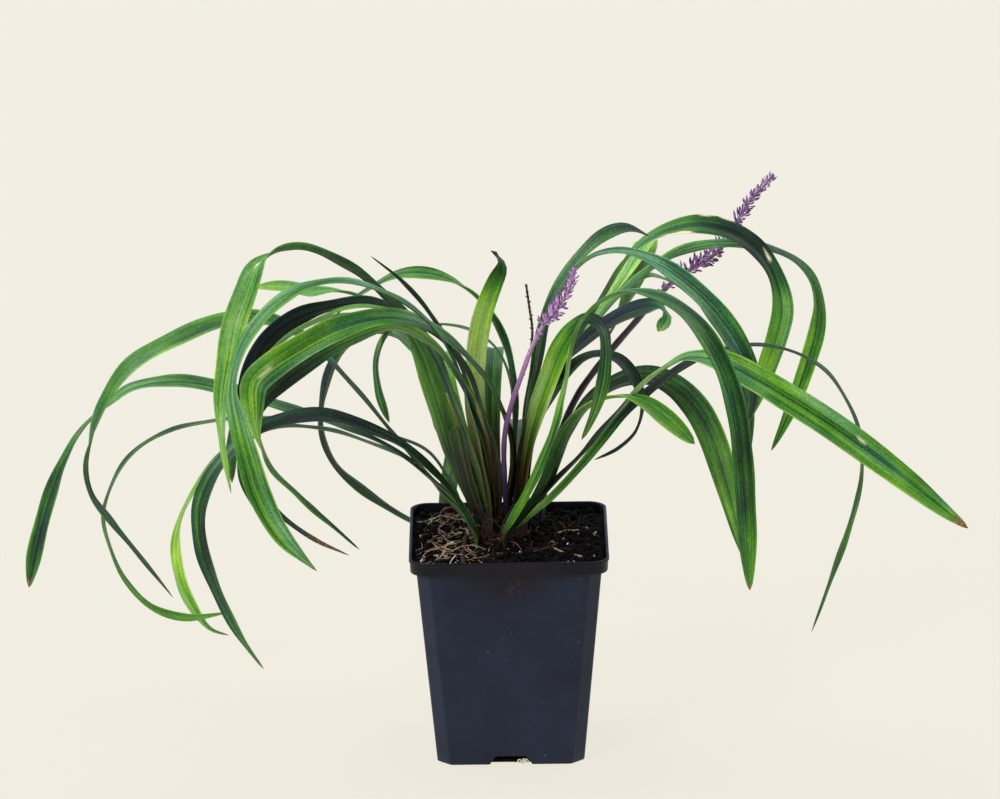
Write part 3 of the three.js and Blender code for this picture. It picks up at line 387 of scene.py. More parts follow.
                       (158, 116, -36, 74), (153.6, 99, -36, 65), (148, 82, -35, 66),
                       (137.6, 50.4, -33, 76)]},
            {"width": 9.4, "tip": 0.13, "tone": [0.34, 0.36, 0.34, 0.4, 0.58, 0.54, 0.56], "dry": 0,
             "flush": 0.2,
             "route": [(-1, 98.5, -16, 125), (5, 106, -17, 128), (12, 114.5, -19, 130),
                       (18, 124.5, -23, 132), (22.5, 135.5, -27, 132), (26.5, 146, -32, 126),
                       (32, 154.5, -37, 116), (39, 160.3, -42, 104), (46, 163.2, -46, 90),
                       (54, 163.4, -50, 80), (62, 160.3, -54, 54), (71.5, 153.2, -57, 26),
                       (84.5, 141, -60, 22)]},
            {"width": 10.5, "tip": 0.14,
             "tone": [0.5, 0.54, 0.46, 0.66, 0.58, 0.44, 0.38, 0.34, 0.32, 0.42, 0.62], "flush": 0.1,
             "route": [(-2, 97.5, -17.5, 60), (2.5, 105.5, -20, 54), (8, 115.5, -23, 50),
                       (16, 133, -28, 54), (23, 153, -35, 66), (27, 171, -42, 80), (29.7, 187, -49, 90),
                       (34.5, 200, -56, 92), (43.5, 208.6, -62, 90), (55, 212.6, -67, 82),
                       (68, 210, -72, 66), (80, 202.5, -77, 54), (90, 190.5, -82, 42),
                       (98.2, 174, -86, 36), (103.4, 154.5, -89, 32), (105.8, 133, -91, 30),
                       (107.2, 110, -92, 30), (108.4, 90, -92, 26), (109.5, 71, -92, 20)]},
        ],
    },
    "shoot_right_high": {
        "root": (5.8, -2), "sheaths": (10, 26),
        "leaves": [
            {"width": 10, "tip": 0.16,
             "tone": [0.35, 0.42, 0.5, 0.62, 0.7, 0.72, 0.5, 0.14, 0.38, 0.5, 0.46], "dry": 1,
             "route": [(5.5, 102, -4, 60), (7.5, 130, -9, 50), (12.5, 153, -14, 36),
                       (18.5, 171, -19, 26), (24, 185.5, -26, 26), (30.5, 195.2, -34, 40),
                       (37.5, 199, -42, 56), (42.6, 194.5, -49, 62), (43.8, 184, -55, 58),
                       (42.3, 170, -60, 56), (38.8, 157, -63, 58), (33.4, 143.5, -65, 60)]},
            {"width": 7, "tone": [0.3, 0.34, 0.38, 0.34, 0.26, 0.18, 0.16, 0.2],
             "route": [(6, 102, -3, 80), (8, 128, -6, 72), (11.5, 147, -10, 62), (17.5, 161.5, -14, 52),
                       (25.5, 173.5, -18, 50), (34, 181.3, -21, 58), (42, 183.6, -24, 60),
                       (50.5, 181, -26, 48), (57.3, 172, -28, 46), (60.5, 160, -29, 72),
                       (58, 148, -30, 96), (50, 140, -31, 106), (39, 134, -31, 105)]},
            {"width": 12.6, "tip": 0.3, "tone": [0.25, 0.2, 0.2, 0.24, 0.3, 0.42, 0.58, 0.56, 0.46],
             "route": [(7, 102, -1, 95), (12.5, 115, 0, 95), (19, 128.5, 1, 95), (24.5, 142, 2, 97),
                       (30, 152, 3, 102), (37, 161, 4, 112), (45, 167.5, 5, 122), (55, 172, 7, 128),
                       (66, 172.5, 9, 134), (76, 167.5, 11, 150), (85, 158, 12, 165), (91, 147, 12, 172),
                       (96.5, 131, 12, 172), (101, 114, 11, 168), (104.4, 99, 10, 160),
                       (107.4, 85, 10, 150)]},
            {"width": 8, "tip": 0.06, "tone": [0.3, 0.3, 0.34, 0.3, 0.24, 0.18, 0.1, 0.16, 0.78],
             "dry": 0, "painted_sheen": 0.3,
             "route": [(5, 102, -1, 100), (8, 134, -2, 98), (14, 160, -4, 90), (24, 178, -8, 70),
                       (35, 190, -12, 50), (45, 198, -15, 38), (54, 203, -17, 30), (62, 205.6, -19, 30),
                       (67.5, 205.8, -20, 54), (70.6, 204, -21, 84), (71.5, 201, -22, 56),
                       (70.2, 197.6, -23, 18), (68, 194.2, -23, 10)]},
            {"width": 11, "tip": 0.16, "painted_sheen": 0.4,
             "tone": [0.3, 0.34, 0.3, 0.22, 0.34, 0.48, 0.4, 0.44, 0.36, 0.24],
             "route": [(4.5, 102, -4, 90), (5.5, 130, -6, 90), (9, 155, -8, 88), (13.5, 180, -10, 86),
                       (18.5, 202, -14, 84), (24.5, 214.5, -18, 84), (31, 223, -22, 84),
                       (40, 229.8, -27, 84), (53, 231.2, -34, 76), (66, 226.8, -40, 59),
                       (79.5, 217.5, -45, 45), (92.3, 205, -49, 38), (102.3, 190.8, -52, 34),
                       (109, 176, -54, 40), (111, 163, -55, 50), (108, 149, -55, 60)]},
            {"width": 9, "tip": 0.12, "tone": [0.3, 0.25, 0.25, 0.2, 0.16, 0.26, 0.42, 0.36, 0.14],
             "route": [(5, 102, 0, 90), (6.5, 130, 1, 76), (10, 157, 2, 60), (14, 180, 3, 56),
                       (17.2, 197, 5, 56), (20.7, 208, 7, 56), (26.2, 218.5, 9, 56), (34, 229.8, 12, 56),
                       (44, 238.8, 15, 52), (54, 242.3, 18, 60), (65, 238.6, 22, 84)]},
        ],
    },
    "shoot_right_back": {
        "root": (5, 10.5), "sheaths": (10, 24),
        "leaves": [
            {"width": 10.5, "tip": 0.16,
             "tone": [0.3, 0.3, 0.3, 0.3, 0.38, 0.5, 0.36, 0.06, 0.54, 0.66, 0.42],
             "scars": [(0.572, 0.95, 6, 0.26, False), (0.617, -1.0, 2.6, 0.12, True),
                       (0.645, -1.0, 2.6, 0.1, True), (0.727, -0.45, 2.7, 0.17, True)],
             "route": [(5.5, 102, 10, 108), (8, 136, 14, 108), (14.5, 161, 18, 108), (24, 180, 21, 106),
                       (35.5, 197, 24, 103), (45.5, 213.5, 27, 98), (55, 229, 30, 88),
                       (65, 237.5, 33, 70), (76, 242, 35, 48), (88, 243.5, 36, 38), (100, 240.8, 37, 35),
                       (110.5, 234, 38, 40), (118, 224.5, 38, 48), (122.5, 213.5, 38, 36),
                       (123.8, 203, 38, 22), (121.4, 191, 38, 18), (117.2, 178, 38, 20),
                       (113.2, 165, 38, 30), (108.8, 151.5, 38, 40)]},
            {"width": 11, "rule": "sky", "tone": [0.3, 0.35, 0.5, 0.72, 0.72, 0.5, 0.42],
             "route": [(5, 102, 12, -30), (8.5, 136, 22, -30), (17, 163, 32, -30), (28.5, 184, 42, -30),
                       (40, 201, 51, -28), (51, 216, 60, -22), (58.5, 228.5, 70, -16),
                       (62.5, 235.5, 83, -8), (62.5, 232, 96, 0), (59, 219.5, 108, 0),
                       (53, 205.5, 116, 0), (46, 192, 120, 0)]},
            {"width": 8.5, "tone": [0.3, 0.34, 0.36, 0.4, 0.44, 0.42, 0.3, 0.52, 0.58, 0.42],
             "route": [(6.5, 102, 11, 85), (10, 136, 18, 82), (18, 162, 27, 80), (30, 184, 36, 78),
                       (42, 200.5, 43, 75), (53, 213, 48, 72), (64, 222.5, 53, 68), (77, 230.5, 58, 62),
                       (91, 234, 63, 60), (106, 234, 67, 64), (119, 231.5, 70, 68),
                       (129.5, 226.3, 72, 70), (136.8, 218, 74, 66), (139.8, 207, 75, 50),
                       (139.2, 194, 76, 28), (136, 181, 77, 15), (131.6, 167, 78, 12),
                       (125.8, 152, 78, 20), (119.2, 137.5, 78, 40)]},
            {"width": 7, "tone": 0.26,
             "route": [(4, 102, 9, 150), (6.5, 128, 10, 150), (10, 147, 12, 150), (15.5, 161, 15, 140),
                       (22.5, 172.5, 19, 115)]},
            {"width": 4.5, "tone": 0.14,
             "route": [(6, 102, 12, 95), (7.5, 127, 15, 95), (11, 144, 18, 95), (15.5, 154, 22, 95),
                       (21, 163, 26, 95), (27.5, 173, 30, 95), (35, 181, 33, 95), (44, 187, 36, 90)]},
            {"width": 8.5, "rule": "sky", "tone": 0.4,
             "route": [(5, 102, 13, 0), (3.5, 126, 30, 0), (4.5, 146, 54, 0), (5, 153, 82, 0),
                       (5, 150, 110, 0), (5, 136, 134, 0), (6, 114, 150, 0), (8, 94, 158, 0)]},
            {"width": 9, "rule": "sky", "tone": 0.44,
             "route": [(6, 102, 11, 0), (9.5, 140, 26, 0), (18, 166, 38, 0), (31.5, 190, 52, 0),
                       (47, 210, 66, 0), (64, 220, 84, 0), (82, 212, 102, 0), (95, 196, 116, 0),
                       (104, 178, 126, 0), (108, 158, 132, 0), (109, 135, 136, 0)]},
        ],
    },
}

blade = {
    "step": 2.2,
    "columns": 17,
    "crowding": 1.45,  # the columns stand closer together toward the margins, up to pi / 2
    "thickness": 0.5,
    "channel": 0.2,  # how high the margins stand over the midrib, as a share of the half width
    "footChannel": 0.5,  # how much more that is at the foot, and over what share of the length it fades
    "footChannelTo": 0.22,
    "footShare": 0.45,  # how narrow the blade is where it leaves its sheath
    "footNarrow": (4, 26),
    "rootShare": 0.5,  # how wide it is after that, and where along it gets to its full width
    "fullAt": 0.5,
    "tipPower": 0.62,
    "narrowest": 0.16,
    "keel": 0.2,  # the midrib stands out of the underside
    "keelWidth": 0.5,
    "groove": 0.12,
    "grooveWidth": 0.55,
    "wave": 0.3,  # slow ripple of the margins
    "waveLength": 31,
    "footUp": 92,
    "tip": 0.2,  # the pointed share of the length, the withered tip and the painted sheen, where a leaf gives none
    "dry": 0.5,
    "painted_sheen": 0.06,
}


# The blade's half width at each row: narrow at the root, full beyond the middle, then pointed.
def halfWidths(width, tip, lengths):
    shares = lengths / lengths[-1]
    swell = blade["rootShare"] + (1 - blade["rootShare"]) * smoothstep(shares, 0, blade["fullAt"])
    left = np.clip((1 - shares) / tip, 0, 1)
    half = np.maximum(width / 2 * swell * (1 - (1 - left) ** 2) ** blade["tipPower"], blade["narrowest"])
    return half * (blade["footShare"] + (1 - blade["footShare"]) * smoothstep(lengths, *blade["footNarrow"]))


# The faces of a thin sheet: a grid of places on its top and then the same on its underside. A square of the
# grid that isn't whole is a hole, and a wall closes the sheet wherever it ends.
def sheetFaces(whole):
    rows, columns = whole.shape[0] + 1, whole.shape[1] + 1
    under = rows * columns
    faces = []
    for i in range(rows - 1):
        for j in range(columns - 1):
            if not whole[i, j]:
                continue
            a = i * columns + j
            b, c, d = a + 1, a + 1 + columns, a + columns
            faces.append([a, b, c, d])
            faces.append([under + a, under + d, under + c, under + b])
            if i == 0 or not whole[i - 1, j]:
                faces.append([b, a, under + a, under + b])
            if i == rows - 2 or not whole[i + 1, j]:
                faces.append([d, c, under + c, under + d])
            if j == 0 or not whole[i, j - 1]:
                faces.append([a, d, under + d, under + a])
            if j == columns - 2 or not whole[i, j + 1]:
                faces.append([c, b, under + b, under + c])
    return faces


# Where a blade's scars show (0 to 1 at each place), and which squares of its grid are still whole.
def scarring(scars, lengths, across):
    whole = np.ones((len(lengths) - 1, len(across) - 1), bool)
    torn = np.zeros((len(lengths), len(across)))
    for share, at, reach, wide, through in scars:
        middle = (lengths - share * lengths[-1])[:, None]
        ragged = 1 + 0.25 * np.sin(middle * 2.3 + 9 * across) + 0.15 * np.sin(middle * 5.1)
        away = np.hypot(middle / reach, (across - at) / wide) / ragged
        torn = np.maximum(torn, smoothstep(-away, -1.3, -0.95))
        inside = away < 1
        if through:
            whole &= ~(inside[:-1, :-1] & inside[1:, :-1] & inside[:-1, 1:] & inside[1:, 1:])
    return torn, whole


def addBlade(heap, number, run, hand, leaf):
    places, turns = run[:, :3], np.radians(run[:, 3]) * hand
    along = unit(np.gradient(places, axis=0))
    toward = np.array((0.0, 0.0, 1.0)) if leaf.get("rule") == "sky" else unit(eye - places)
    facing = unit(toward - along * np.sum(toward * along, axis=1, keepdims=True))
    upper = facing * np.cos(turns)[:, None] + np.cross(along, facing) * np.sin(turns)[:, None]
    side = np.cross(along, upper)
    lengths = walkedLengths(places)
    half = halfWidths(leaf["width"], leaf.get("tip", blade["tip"]), lengths)[:, None]
    across = np.sin(np.linspace(-1, 1, blade["columns"]) * blade["crowding"]) / math.sin(blade["crowding"])
    phase = number * 1.7  # so that no two leaves ripple alike
    ripple = np.sin(lengths / blade["waveLength"] * 2 * math.pi + phase)[:, None] * across**3
    ripple = ripple * blade["wave"] * np.minimum(half / 4, 1)
    nearFoot = 1 - smoothstep(np.linspace(0, 1, len(run)), 0, blade["footChannelTo"])
    channel = blade["channel"] + blade["footChannel"] * nearFoot
    lift = half * channel[:, None] * np.abs(across) ** 1.25 + ripple
    thin = blade["thickness"] / 2 * (1 - 0.5 * across**2) * np.minimum(half / 1.2, 1)
    rib = np.minimum(half / 3, 1)  # the midrib fades where the blade is narrow
    groove = blade["groove"] * np.exp(-((across * half / blade["grooveWidth"]) ** 2)) * rib
    keel = blade["keel"] * np.exp(-((across * half / blade["keelWidth"]) ** 2)) * rib
    spread = places[:, None, :] + side[:, None, :] * (across * half)[:, :, None]
    top = spread + upper[:, None, :] * (lift + thin - groove)[:, :, None]
    under = spread + upper[:, None, :] * (lift - thin - keel)[:, :, None]

    torn, whole = scarring(leaf.get("scars", ()), lengths, across)
    dry = leaf.get("dry", blade["dry"])
    fromTip = (lengths[-1] - lengths)[:, None] + 1.5 * np.sin(across * 7 + phase)
    grid = np.ones(torn.shape)

    def fromRootToTip(values):
        values = np.atleast_1d(values)
        spots = np.linspace(0, 1, len(values))
        return grid * np.interp(lengths / lengths[-1], spots, values)[:, None]

    marks = {
        "across": grid * across,
        "along": grid * lengths[:, None],
        "wither": smoothstep(-fromTip, -dry - 2.5, -dry * 0.55) if dry else 0 * grid,
        "torn": torn,
        "tone": fromRootToTip(leaf["tone"]),
        "flush": grid * leaf.get("flush", 1.0),
        "painted_sheen": fromRootToTip(leaf.get("painted_sheen", blade["painted_sheen"])),
    }
    twice = {name: np.tile(values.ravel(), 2) for name, values in marks.items()}
    addToHeap(heap, np.concatenate([top.reshape(-1, 3), under.reshape(-1, 3)]), sheetFaces(whole),
              number=number, underside=np.repeat((0, 1), grid.size), **twice)


def addLeaf(heap, number, root, leaf):
    route = [place(*row[:3]) + (row[3],) for row in leaf["route"]]
    foot = (root[0], root[1], blade["footUp"], route[0][3])
    run = smoothRun([foot] + route, blade["step"])
    hand = 1 if leaf.get("rule") == "sky" or route[0][0] > route[-1][0] else -1
    addBlade(heap, number, run, hand, leaf)


# Patterns on a leaf: how many cells there are from midrib to margin and in a millimetre of length, the
# detail, and how far the pattern shifts the shade.
leafPatterns = {
    "bands": (2.6, 0.008, 2.0, 0.24),
    "lines": (13.0, 0.012, 2.0, 0.2),
    "veins": (32.0, 0.008, 1.0, 0.17),
    "clouds": (0.8, 0.045, 3.0, 0.2),
    "freckles": (7.0, 0.8, 1.0, 0.1),
    "painted_sheen": (1.1, 0.022, 1.0, 0.0),
}


def leafMaterial():
    # strap leaf: waxy skin over soft green flesh, so it shines on its ribs and glows yellow-green where
    # light comes through, with dark and bright lines that run side by side from root to tip
    material, tree = newMaterial("leaf skin and flesh")
    mark = {name: addNode(tree, "ShaderNodeAttribute", {"attribute_name": name}).outputs["Fac"]
            for name in ("across", "along", "tone", "number", "wither", "torn", "flush", "painted_sheen", "underside")}
    spot = addNode(tree, "ShaderNodeCombineXYZ", links={"X": mark["across"], "Y": mark["along"],
                   "Z": mark["number"]})
    pattern = {}
    # the shade starts from the tone, which holds painted shade and painted glow of light through the blade as
    # well as the leaf's own green
    shade = mark["tone"]
    for name, (across, along, detail, weight) in leafPatterns.items():
        drawn = addNode(tree, "ShaderNodeVectorMath", {"operation": "MULTIPLY"}, {1: (across, along, 3.7)},
                        {0: spot.outputs[0]})
        cells = addNode(tree, "ShaderNodeTexNoise", values={"Scale": 1.0, "Detail": detail},
                        links={"Vector": drawn.outputs[0]})
        pattern[name] = addNode(tree, "ShaderNodeMapRange", values={
            "From Min": 0.3, "From Max": 0.7, "To Min": -0.5, "To Max": 0.5},
            links={"Value": cells.outputs["Fac"]}).outputs[0]
        if weight:
            shade = addNode(tree, "ShaderNodeMath", {"operation": "MULTIPLY_ADD"}, {1: weight},
                            {0: pattern[name], 2: shade}).outputs[0]
    fromMidrib = addNode(tree, "ShaderNodeMath", {"operation": "ABSOLUTE"}, links={0: mark["across"]})
    # the margins are painted lighter: a painted glow of light coming through the thin edge
    margin = addNode(tree, "ShaderNodeMapRange", values={"From Min": 0.84, "From Max": 0.98},
                     links={"Value": fromMidrib.outputs[0]})
    midrib = addNode(tree, "ShaderNodeMapRange", values={"From Min": 0.14, "From Max": 0.02},
                     links={"Value": fromMidrib.outputs[0]})
    shade = addNode(tree, "ShaderNodeMath", {"operation": "MULTIPLY_ADD"}, {1: 0.13},
                    {0: margin.outputs[0], 2: shade}).outputs[0]
    shade = addNode(tree, "ShaderNodeMath", {"operation": "MULTIPLY_ADD", "use_clamp": True}, {1: -0.12},
                    {0: midrib.outputs[0], 2: shade}).outputs[0]
    green = addNode(tree, "ShaderNodeValToRGB", links={"Fac": shade})
    fillRamp(green, [(0.0, "#0a0f0d"), (0.16, "#152a18"), (0.32, "#265220"), (0.46, "#448528"),
                     (0.62, "#70ad33"), (0.8, "#add44c"), (1.0, "#e4f09c")])
    # in places a painted sheen, standing for reflected sky light, turns the green towards teal and blue
    sheenColours = addNode(tree, "ShaderNodeValToRGB", links={"Fac": shade})
    fillRamp(sheenColours, [(0.0, "#1a2340"), (0.16, "#283a53"), (0.36, "#2d5c4d"), (0.5, "#4c9069"),
                    (0.68, "#8ec09c"), (1.0, "#dcebd8")])
    sheenShare = addNode(tree, "ShaderNodeMath", {"operation": "MULTIPLY_ADD", "use_clamp": True}, {1: 0.8},
                   {0: pattern["painted_sheen"], 2: mark["painted_sheen"]})
    withSheen = addNode(tree, "ShaderNodeMix", {"data_type": "RGBA"}, links={
        "Factor": sheenShare.outputs[0], 6: green.outputs[0], 7: sheenColours.outputs[0]})

    # dry tips and the rims of holes go from straw to burnt orange and brown
    rust = addNode(tree, "ShaderNodeValToRGB", links={"Fac": addNode(tree, "ShaderNodeMath", {
        "operation": "ADD"}, {1: 0.5}, {0: pattern["freckles"]}).outputs[0]})
    fillRamp(rust, [(0.2, "#4a2a1c"), (0.5, "#9a6238"), (0.8, "#d2ab74")])
    tipped = addNode(tree, "ShaderNodeMix", {"data_type": "RGBA"}, links={
        "Factor": mark["wither"], 6: withSheen.outputs[2], 7: rust.outputs[0]})
    # the foot of a leaf is flushed with purple-brown
    footFade = addNode(tree, "ShaderNodeMapRange", {"interpolation_type": "SMOOTHSTEP"}, {"From Min": 34.0,
                       "From Max": 88.0, "To Min": 0.95, "To Max": 0.0}, {"Value": mark["along"]})
    flush = addNode(tree, "ShaderNodeValToRGB", links={"Fac": addNode(tree, "ShaderNodeMath", {
        "operation": "ADD"}, {1: 0.5}, {0: pattern["bands"]}).outputs[0]})
    fillRamp(flush, [(0.1, "#1b100f"), (0.45, "#42261d"), (0.75, "#6b4d25"), (1.0, "#8a8737")])
    flushed = addNode(tree, "ShaderNodeMath", {"operation": "MULTIPLY"},
                      links={0: footFade.outputs[0], 1: mark["flush"]})
    soiled = addNode(tree, "ShaderNodeMapRange", {"interpolation_type": "SMOOTHSTEP"}, {"From Min": 8.0,
                     "From Max": 24.0, "To Min": 0.95, "To Max": 0.0}, {"Value": mark["along"]})
    darkened = addNode(tree, "ShaderNodeMath", {"operation": "MAXIMUM"},
                       links={0: flushed.outputs[0], 1: soiled.outputs[0]})
    footed = addNode(tree, "ShaderNodeMix", {"data_type": "RGBA"}, links={
        "Factor": darkened.outputs[0], 6: tipped.outputs[2], 7: flush.outputs[0]})
    # the underside is greyer, and its lines are fainter
    grey = addNode(tree, "ShaderNodeValToRGB", links={"Fac": shade})
    fillRamp(grey, [(0.0, "#12191a"), (0.3, "#2f4a38"), (0.6, "#5f8748"), (1.0, "#a9c766")])
    below = addNode(tree, "ShaderNodeMath", {"operation": "MULTIPLY"}, {1: 0.5}, {0: mark["underside"]})
    backed = addNode(tree, "ShaderNodeMix", {"data_type": "RGBA"}, links={
        "Factor": below.outputs[0], 6: footed.outputs[2], 7: grey.outputs[0]})
    # torn and rubbed places dry to cream
    surface = addNode(tree, "ShaderNodeMix", {"data_type": "RGBA"}, {7: linear("#e9e0c2")}, {
        "Factor": mark["torn"], 6: backed.outputs[2]}).outputs[2]

    # light that comes through is yellower than light that bounces off
    glow = addNode(tree, "ShaderNodeMix", {"data_type": "RGBA", "blend_type": "MULTIPLY"}, {
        "Factor": 1.0, 7: (1.9, 1.75, 0.5, 1.0)}, {6: surface})
    ribs = addNode(tree, "ShaderNodeMath", {"operation": "MULTIPLY_ADD"}, {1: 0.4}, {
        0: pattern["freckles"], 2: pattern["lines"]})
    bump = addNode(tree, "ShaderNodeBump", values={"Strength": 0.55, "Distance": 0.16 * mm},
                   links={"Height": ribs.outputs[0]})
    # the bright parts are smooth and shine, and the dark ones are duller
    rough = addNode(tree, "ShaderNodeMapRange", values={"From Min": 0.1, "From Max": 0.6, "To Min": 0.5,
                    "To Max": 0.28}, links={"Value": shade})
    skin = addNode(tree, "ShaderNodeBsdfPrincipled", values={
        "IOR": 1.48, "Specular IOR Level": 0.36, "Specular Tint": (0.85, 1.0, 0.9, 1.0)},
        links={"Base Color": surface, "Roughness": rough.outputs[0], "Normal": bump.outputs[0]})
    flesh = addNode(tree, "ShaderNodeBsdfTranslucent", links={"Color": glow.outputs[2]})
    both = addNode(tree, "ShaderNodeMixShader", values={0: 0.3},
                   links={1: skin.outputs[0], 2: flesh.outputs[0]})
    finishMaterial(tree, both)
    return material


# Dry sheaths wrap the foot of each shoot, and their tops flare and fray.
sheath = {
    "count": 11,
    "ring": 3.8,
    "ringTop": 0.12,  # how much closer the ring is at the top, as a share
    "footUp": 91,
    "width": 4.2,
    "narrowest": 0.25,
    "thickness": 0.3,
    "columns": 7,
    "step": 1.4,
    "flare": (0.4, 2.6),
    "fray": 0.25,
}


def addSheaths(heap, number, root, heights, draw):
    for k in range(sheath["count"]):
        angle = (k + draw.uniform(-0.3, 0.3)) / sheath["count"] * 2 * math.pi
        out = np.array((math.cos(angle), math.sin(angle), 0))
        height = draw.uniform(*heights)
        flare = draw.uniform(*sheath["flare"]) * min(1, height / 20)  # a short one flares less
        rows = []
        for share in (0, 0.35, 0.7, 1.0):
            away = sheath["ring"] * (1 - sheath["ringTop"] * share) + flare * share**2
            rows.append(np.array((*root, sheath["footUp"] + height * share)) + out * away)
        places = smoothRun(rows, sheath["step"])
        side = np.cross(unit(np.gradient(places, axis=0)), -out)
        shares = np.linspace(0, 1, len(places))
        half = sheath["width"] / 2 * (1 - shares**2.2) * draw.uniform(0.75, 1.1) + sheath["narrowest"]
        across = np.linspace(-1, 1, sheath["columns"])
        fray = np.array([draw.uniform(-sheath["fray"], sheath["fray"]) for share in shares])
        spread = places[:, None, :] + side[:, None, :] * (across * half[:, None])[:, :, None]
        # it lies round the shoot as a shallow bowl, which the fraying tilts
        wrap = (across**2 * half[:, None] ** 2 / (2 * sheath["ring"]) + fray[:, None] * across)[:, :, None]
        outer = spread - out * wrap
        inner = outer - out * sheath["thickness"]
        grid = np.ones(outer.shape[:2])
        # its faces go round the other way from a blade's, because its columns do
        faces = [face[:1] + face[:0:-1] for face in sheetFaces(grid[1:, 1:] > 0)]
        addToHeap(heap, np.concatenate([outer.reshape(-1, 3), inner.reshape(-1, 3)]), faces,
                  across=np.tile((grid * across).ravel(), 2),
                  along=np.tile((grid * shares[:, None] * height).ravel(), 2),
                  number=number * 9 + k)


def sheathMaterial():
    # withered leaf sheath: papery, with torn fibres, from purple-brown to straw
    material, tree = newMaterial("withered sheath")
    mark = {name: addNode(tree, "ShaderNodeAttribute", {"attribute_name": name}).outputs["Fac"]
            for name in ("across", "along", "number")}
    stretched = addNode(tree, "ShaderNodeCombineXYZ", links={"X": mark["across"], "Z": mark["number"]})
    fibres = addNode(tree, "ShaderNodeTexNoise", values={"Scale": 4.0, "Detail": 4.0, "Roughness": 0.7},
                     links={"Vector": stretched.outputs[0]})
    colour = addNode(tree, "ShaderNodeValToRGB", links={"Fac": fibres.outputs["Fac"]})
    fillRamp(colour, [(0.3, "#120b0d"), (0.48, "#291a1a"), (0.6, "#46302a"), (0.78, "#7f6244")])
    bump = addNode(tree, "ShaderNodeBump", values={"Strength": 0.6, "Distance": 0.1 * mm},
                   links={"Height": fibres.outputs["Fac"]})
    skin = addNode(tree, "ShaderNodeBsdfPrincipled", values={"Roughness": 0.75}, links={
        "Base Color": colour.outputs[0], "Normal": bump.outputs[0]})
    finishMaterial(tree, skin)
    return material


def makeShoots():
    green = leafMaterial()
    papery = sheathMaterial()
    draw = random.Random(11)
    number = 0
    for name, shoot in shoots.items():
        heap = newHeap("across", "along", "tone", "number", "wither", "torn", "flush", "painted_sheen", "underside")
        for leaf in shoot["leaves"]:
            addLeaf(heap, number, shoot["root"], leaf)
            number += 1
        makePiece(name + "_leaves", heap, green, [name])
        dry = newHeap("across", "along", "number")
        addSheaths(dry, number, shoot["root"], shoot["sheaths"], draw)
        makePiece(name + "_sheaths", dry, papery)


# Flower stalks, and the spikes of buds that they carry on. hue shifts the buds from pink (0) to violet (1),
# and bare is the share of the spike, from its foot, where most buds are missing and the rest are short.
flowers = {
    "front": {
        "radius": 1.25, "spikeWidth": 9.6, "hue": -0.1, "bare": 0.27,
        "stem": [(0.5, 102, -6), (-0.8, 112, -10.5), (-1.6, 125, -16), (-1.3, 146, -23), (2, 161, -27),
                 (6.5, 174, -29), (10.5, 185.5, -31)],
        "spike": [(10.5, 185.5, -31), (14.3, 193.5, -32), (18.7, 200.5, -33), (24.4, 207.8, -34),
                  (28.5, 215.5, -35), (30.5, 224, -35)],
    },
    "tall": {
        "radius": 1.65, "spikeWidth": 9.8, "hue": 0.5, "bare": 0.12,
        "stem": [(14.5, 101, 17), (17.5, 128, 24), (24, 147, 31), (32, 165, 39), (45.3, 183.5, 47),
                 (59, 200, 56), (66, 208.5, 60)],
        "spike": [(66, 208.5, 60), (75, 217.5, 65), (85, 224.5, 69), (93, 229.5, 72), (99, 236, 74),
                  (103.5, 244.5, 75), (109, 254, 76), (115.5, 261, 77), (119.5, 266, 78)],
    },
}
stalk = {"footUp": 92, "sides": 12, "step": 2.0}
bud = {
    "radius": 0.58,
    "sides": 7,
    "inCluster": 7,
    "clusterGap": 1.75,
    "turn": 137.5,  # degrees from one cluster to the next
    "missing": 0.24,
    "missingBare": 0.75,
    "lengthBare": 0.4,
    "tipCount": 4,
    "tipLength": 2.1,
    "tipRadius": 0.4,
}
spent = {
    "radius": 0.7,
    "stem": [(-1.6, 98, 2), (-1.6, 125, 1.5), (-0.8, 147, 1), (2.4, 161, 0.5), (7, 174, 0), (10.8, 186, 0),
             (11.6, 196, 0), (10.4, 206, 0), (9, 217, 0)],
    "scarsFrom": 0.66,
    "scarGap": 2.4,
}


def stalkRun(rows):
    spots = [place(*row) for row in rows]
    return smoothRun([(*spots[0][:2], stalk["footUp"])] + spots, stalk["step"])


# One bud: a thin foot-stalk, then a slim body that swells and draws in to a point.
def addBud(heap, foot, direction, length, radius, tone):
    shares = np.array((0, 0.3, 0.4, 0.54, 0.68, 0.84, 0.95, 1.0))
    widths = np.array((0.4, 0.34, 0.66, 0.95, 1.0, 0.66, 0.28, 0.08))
    bend = np.outer(length * 0.22 * shares**2, (0, 0, 1))
    run = foot + np.outer(shares * length, direction) + bend
    addTube(heap, run, widths * radius, bud["sides"], reach=shares, tone=tone)


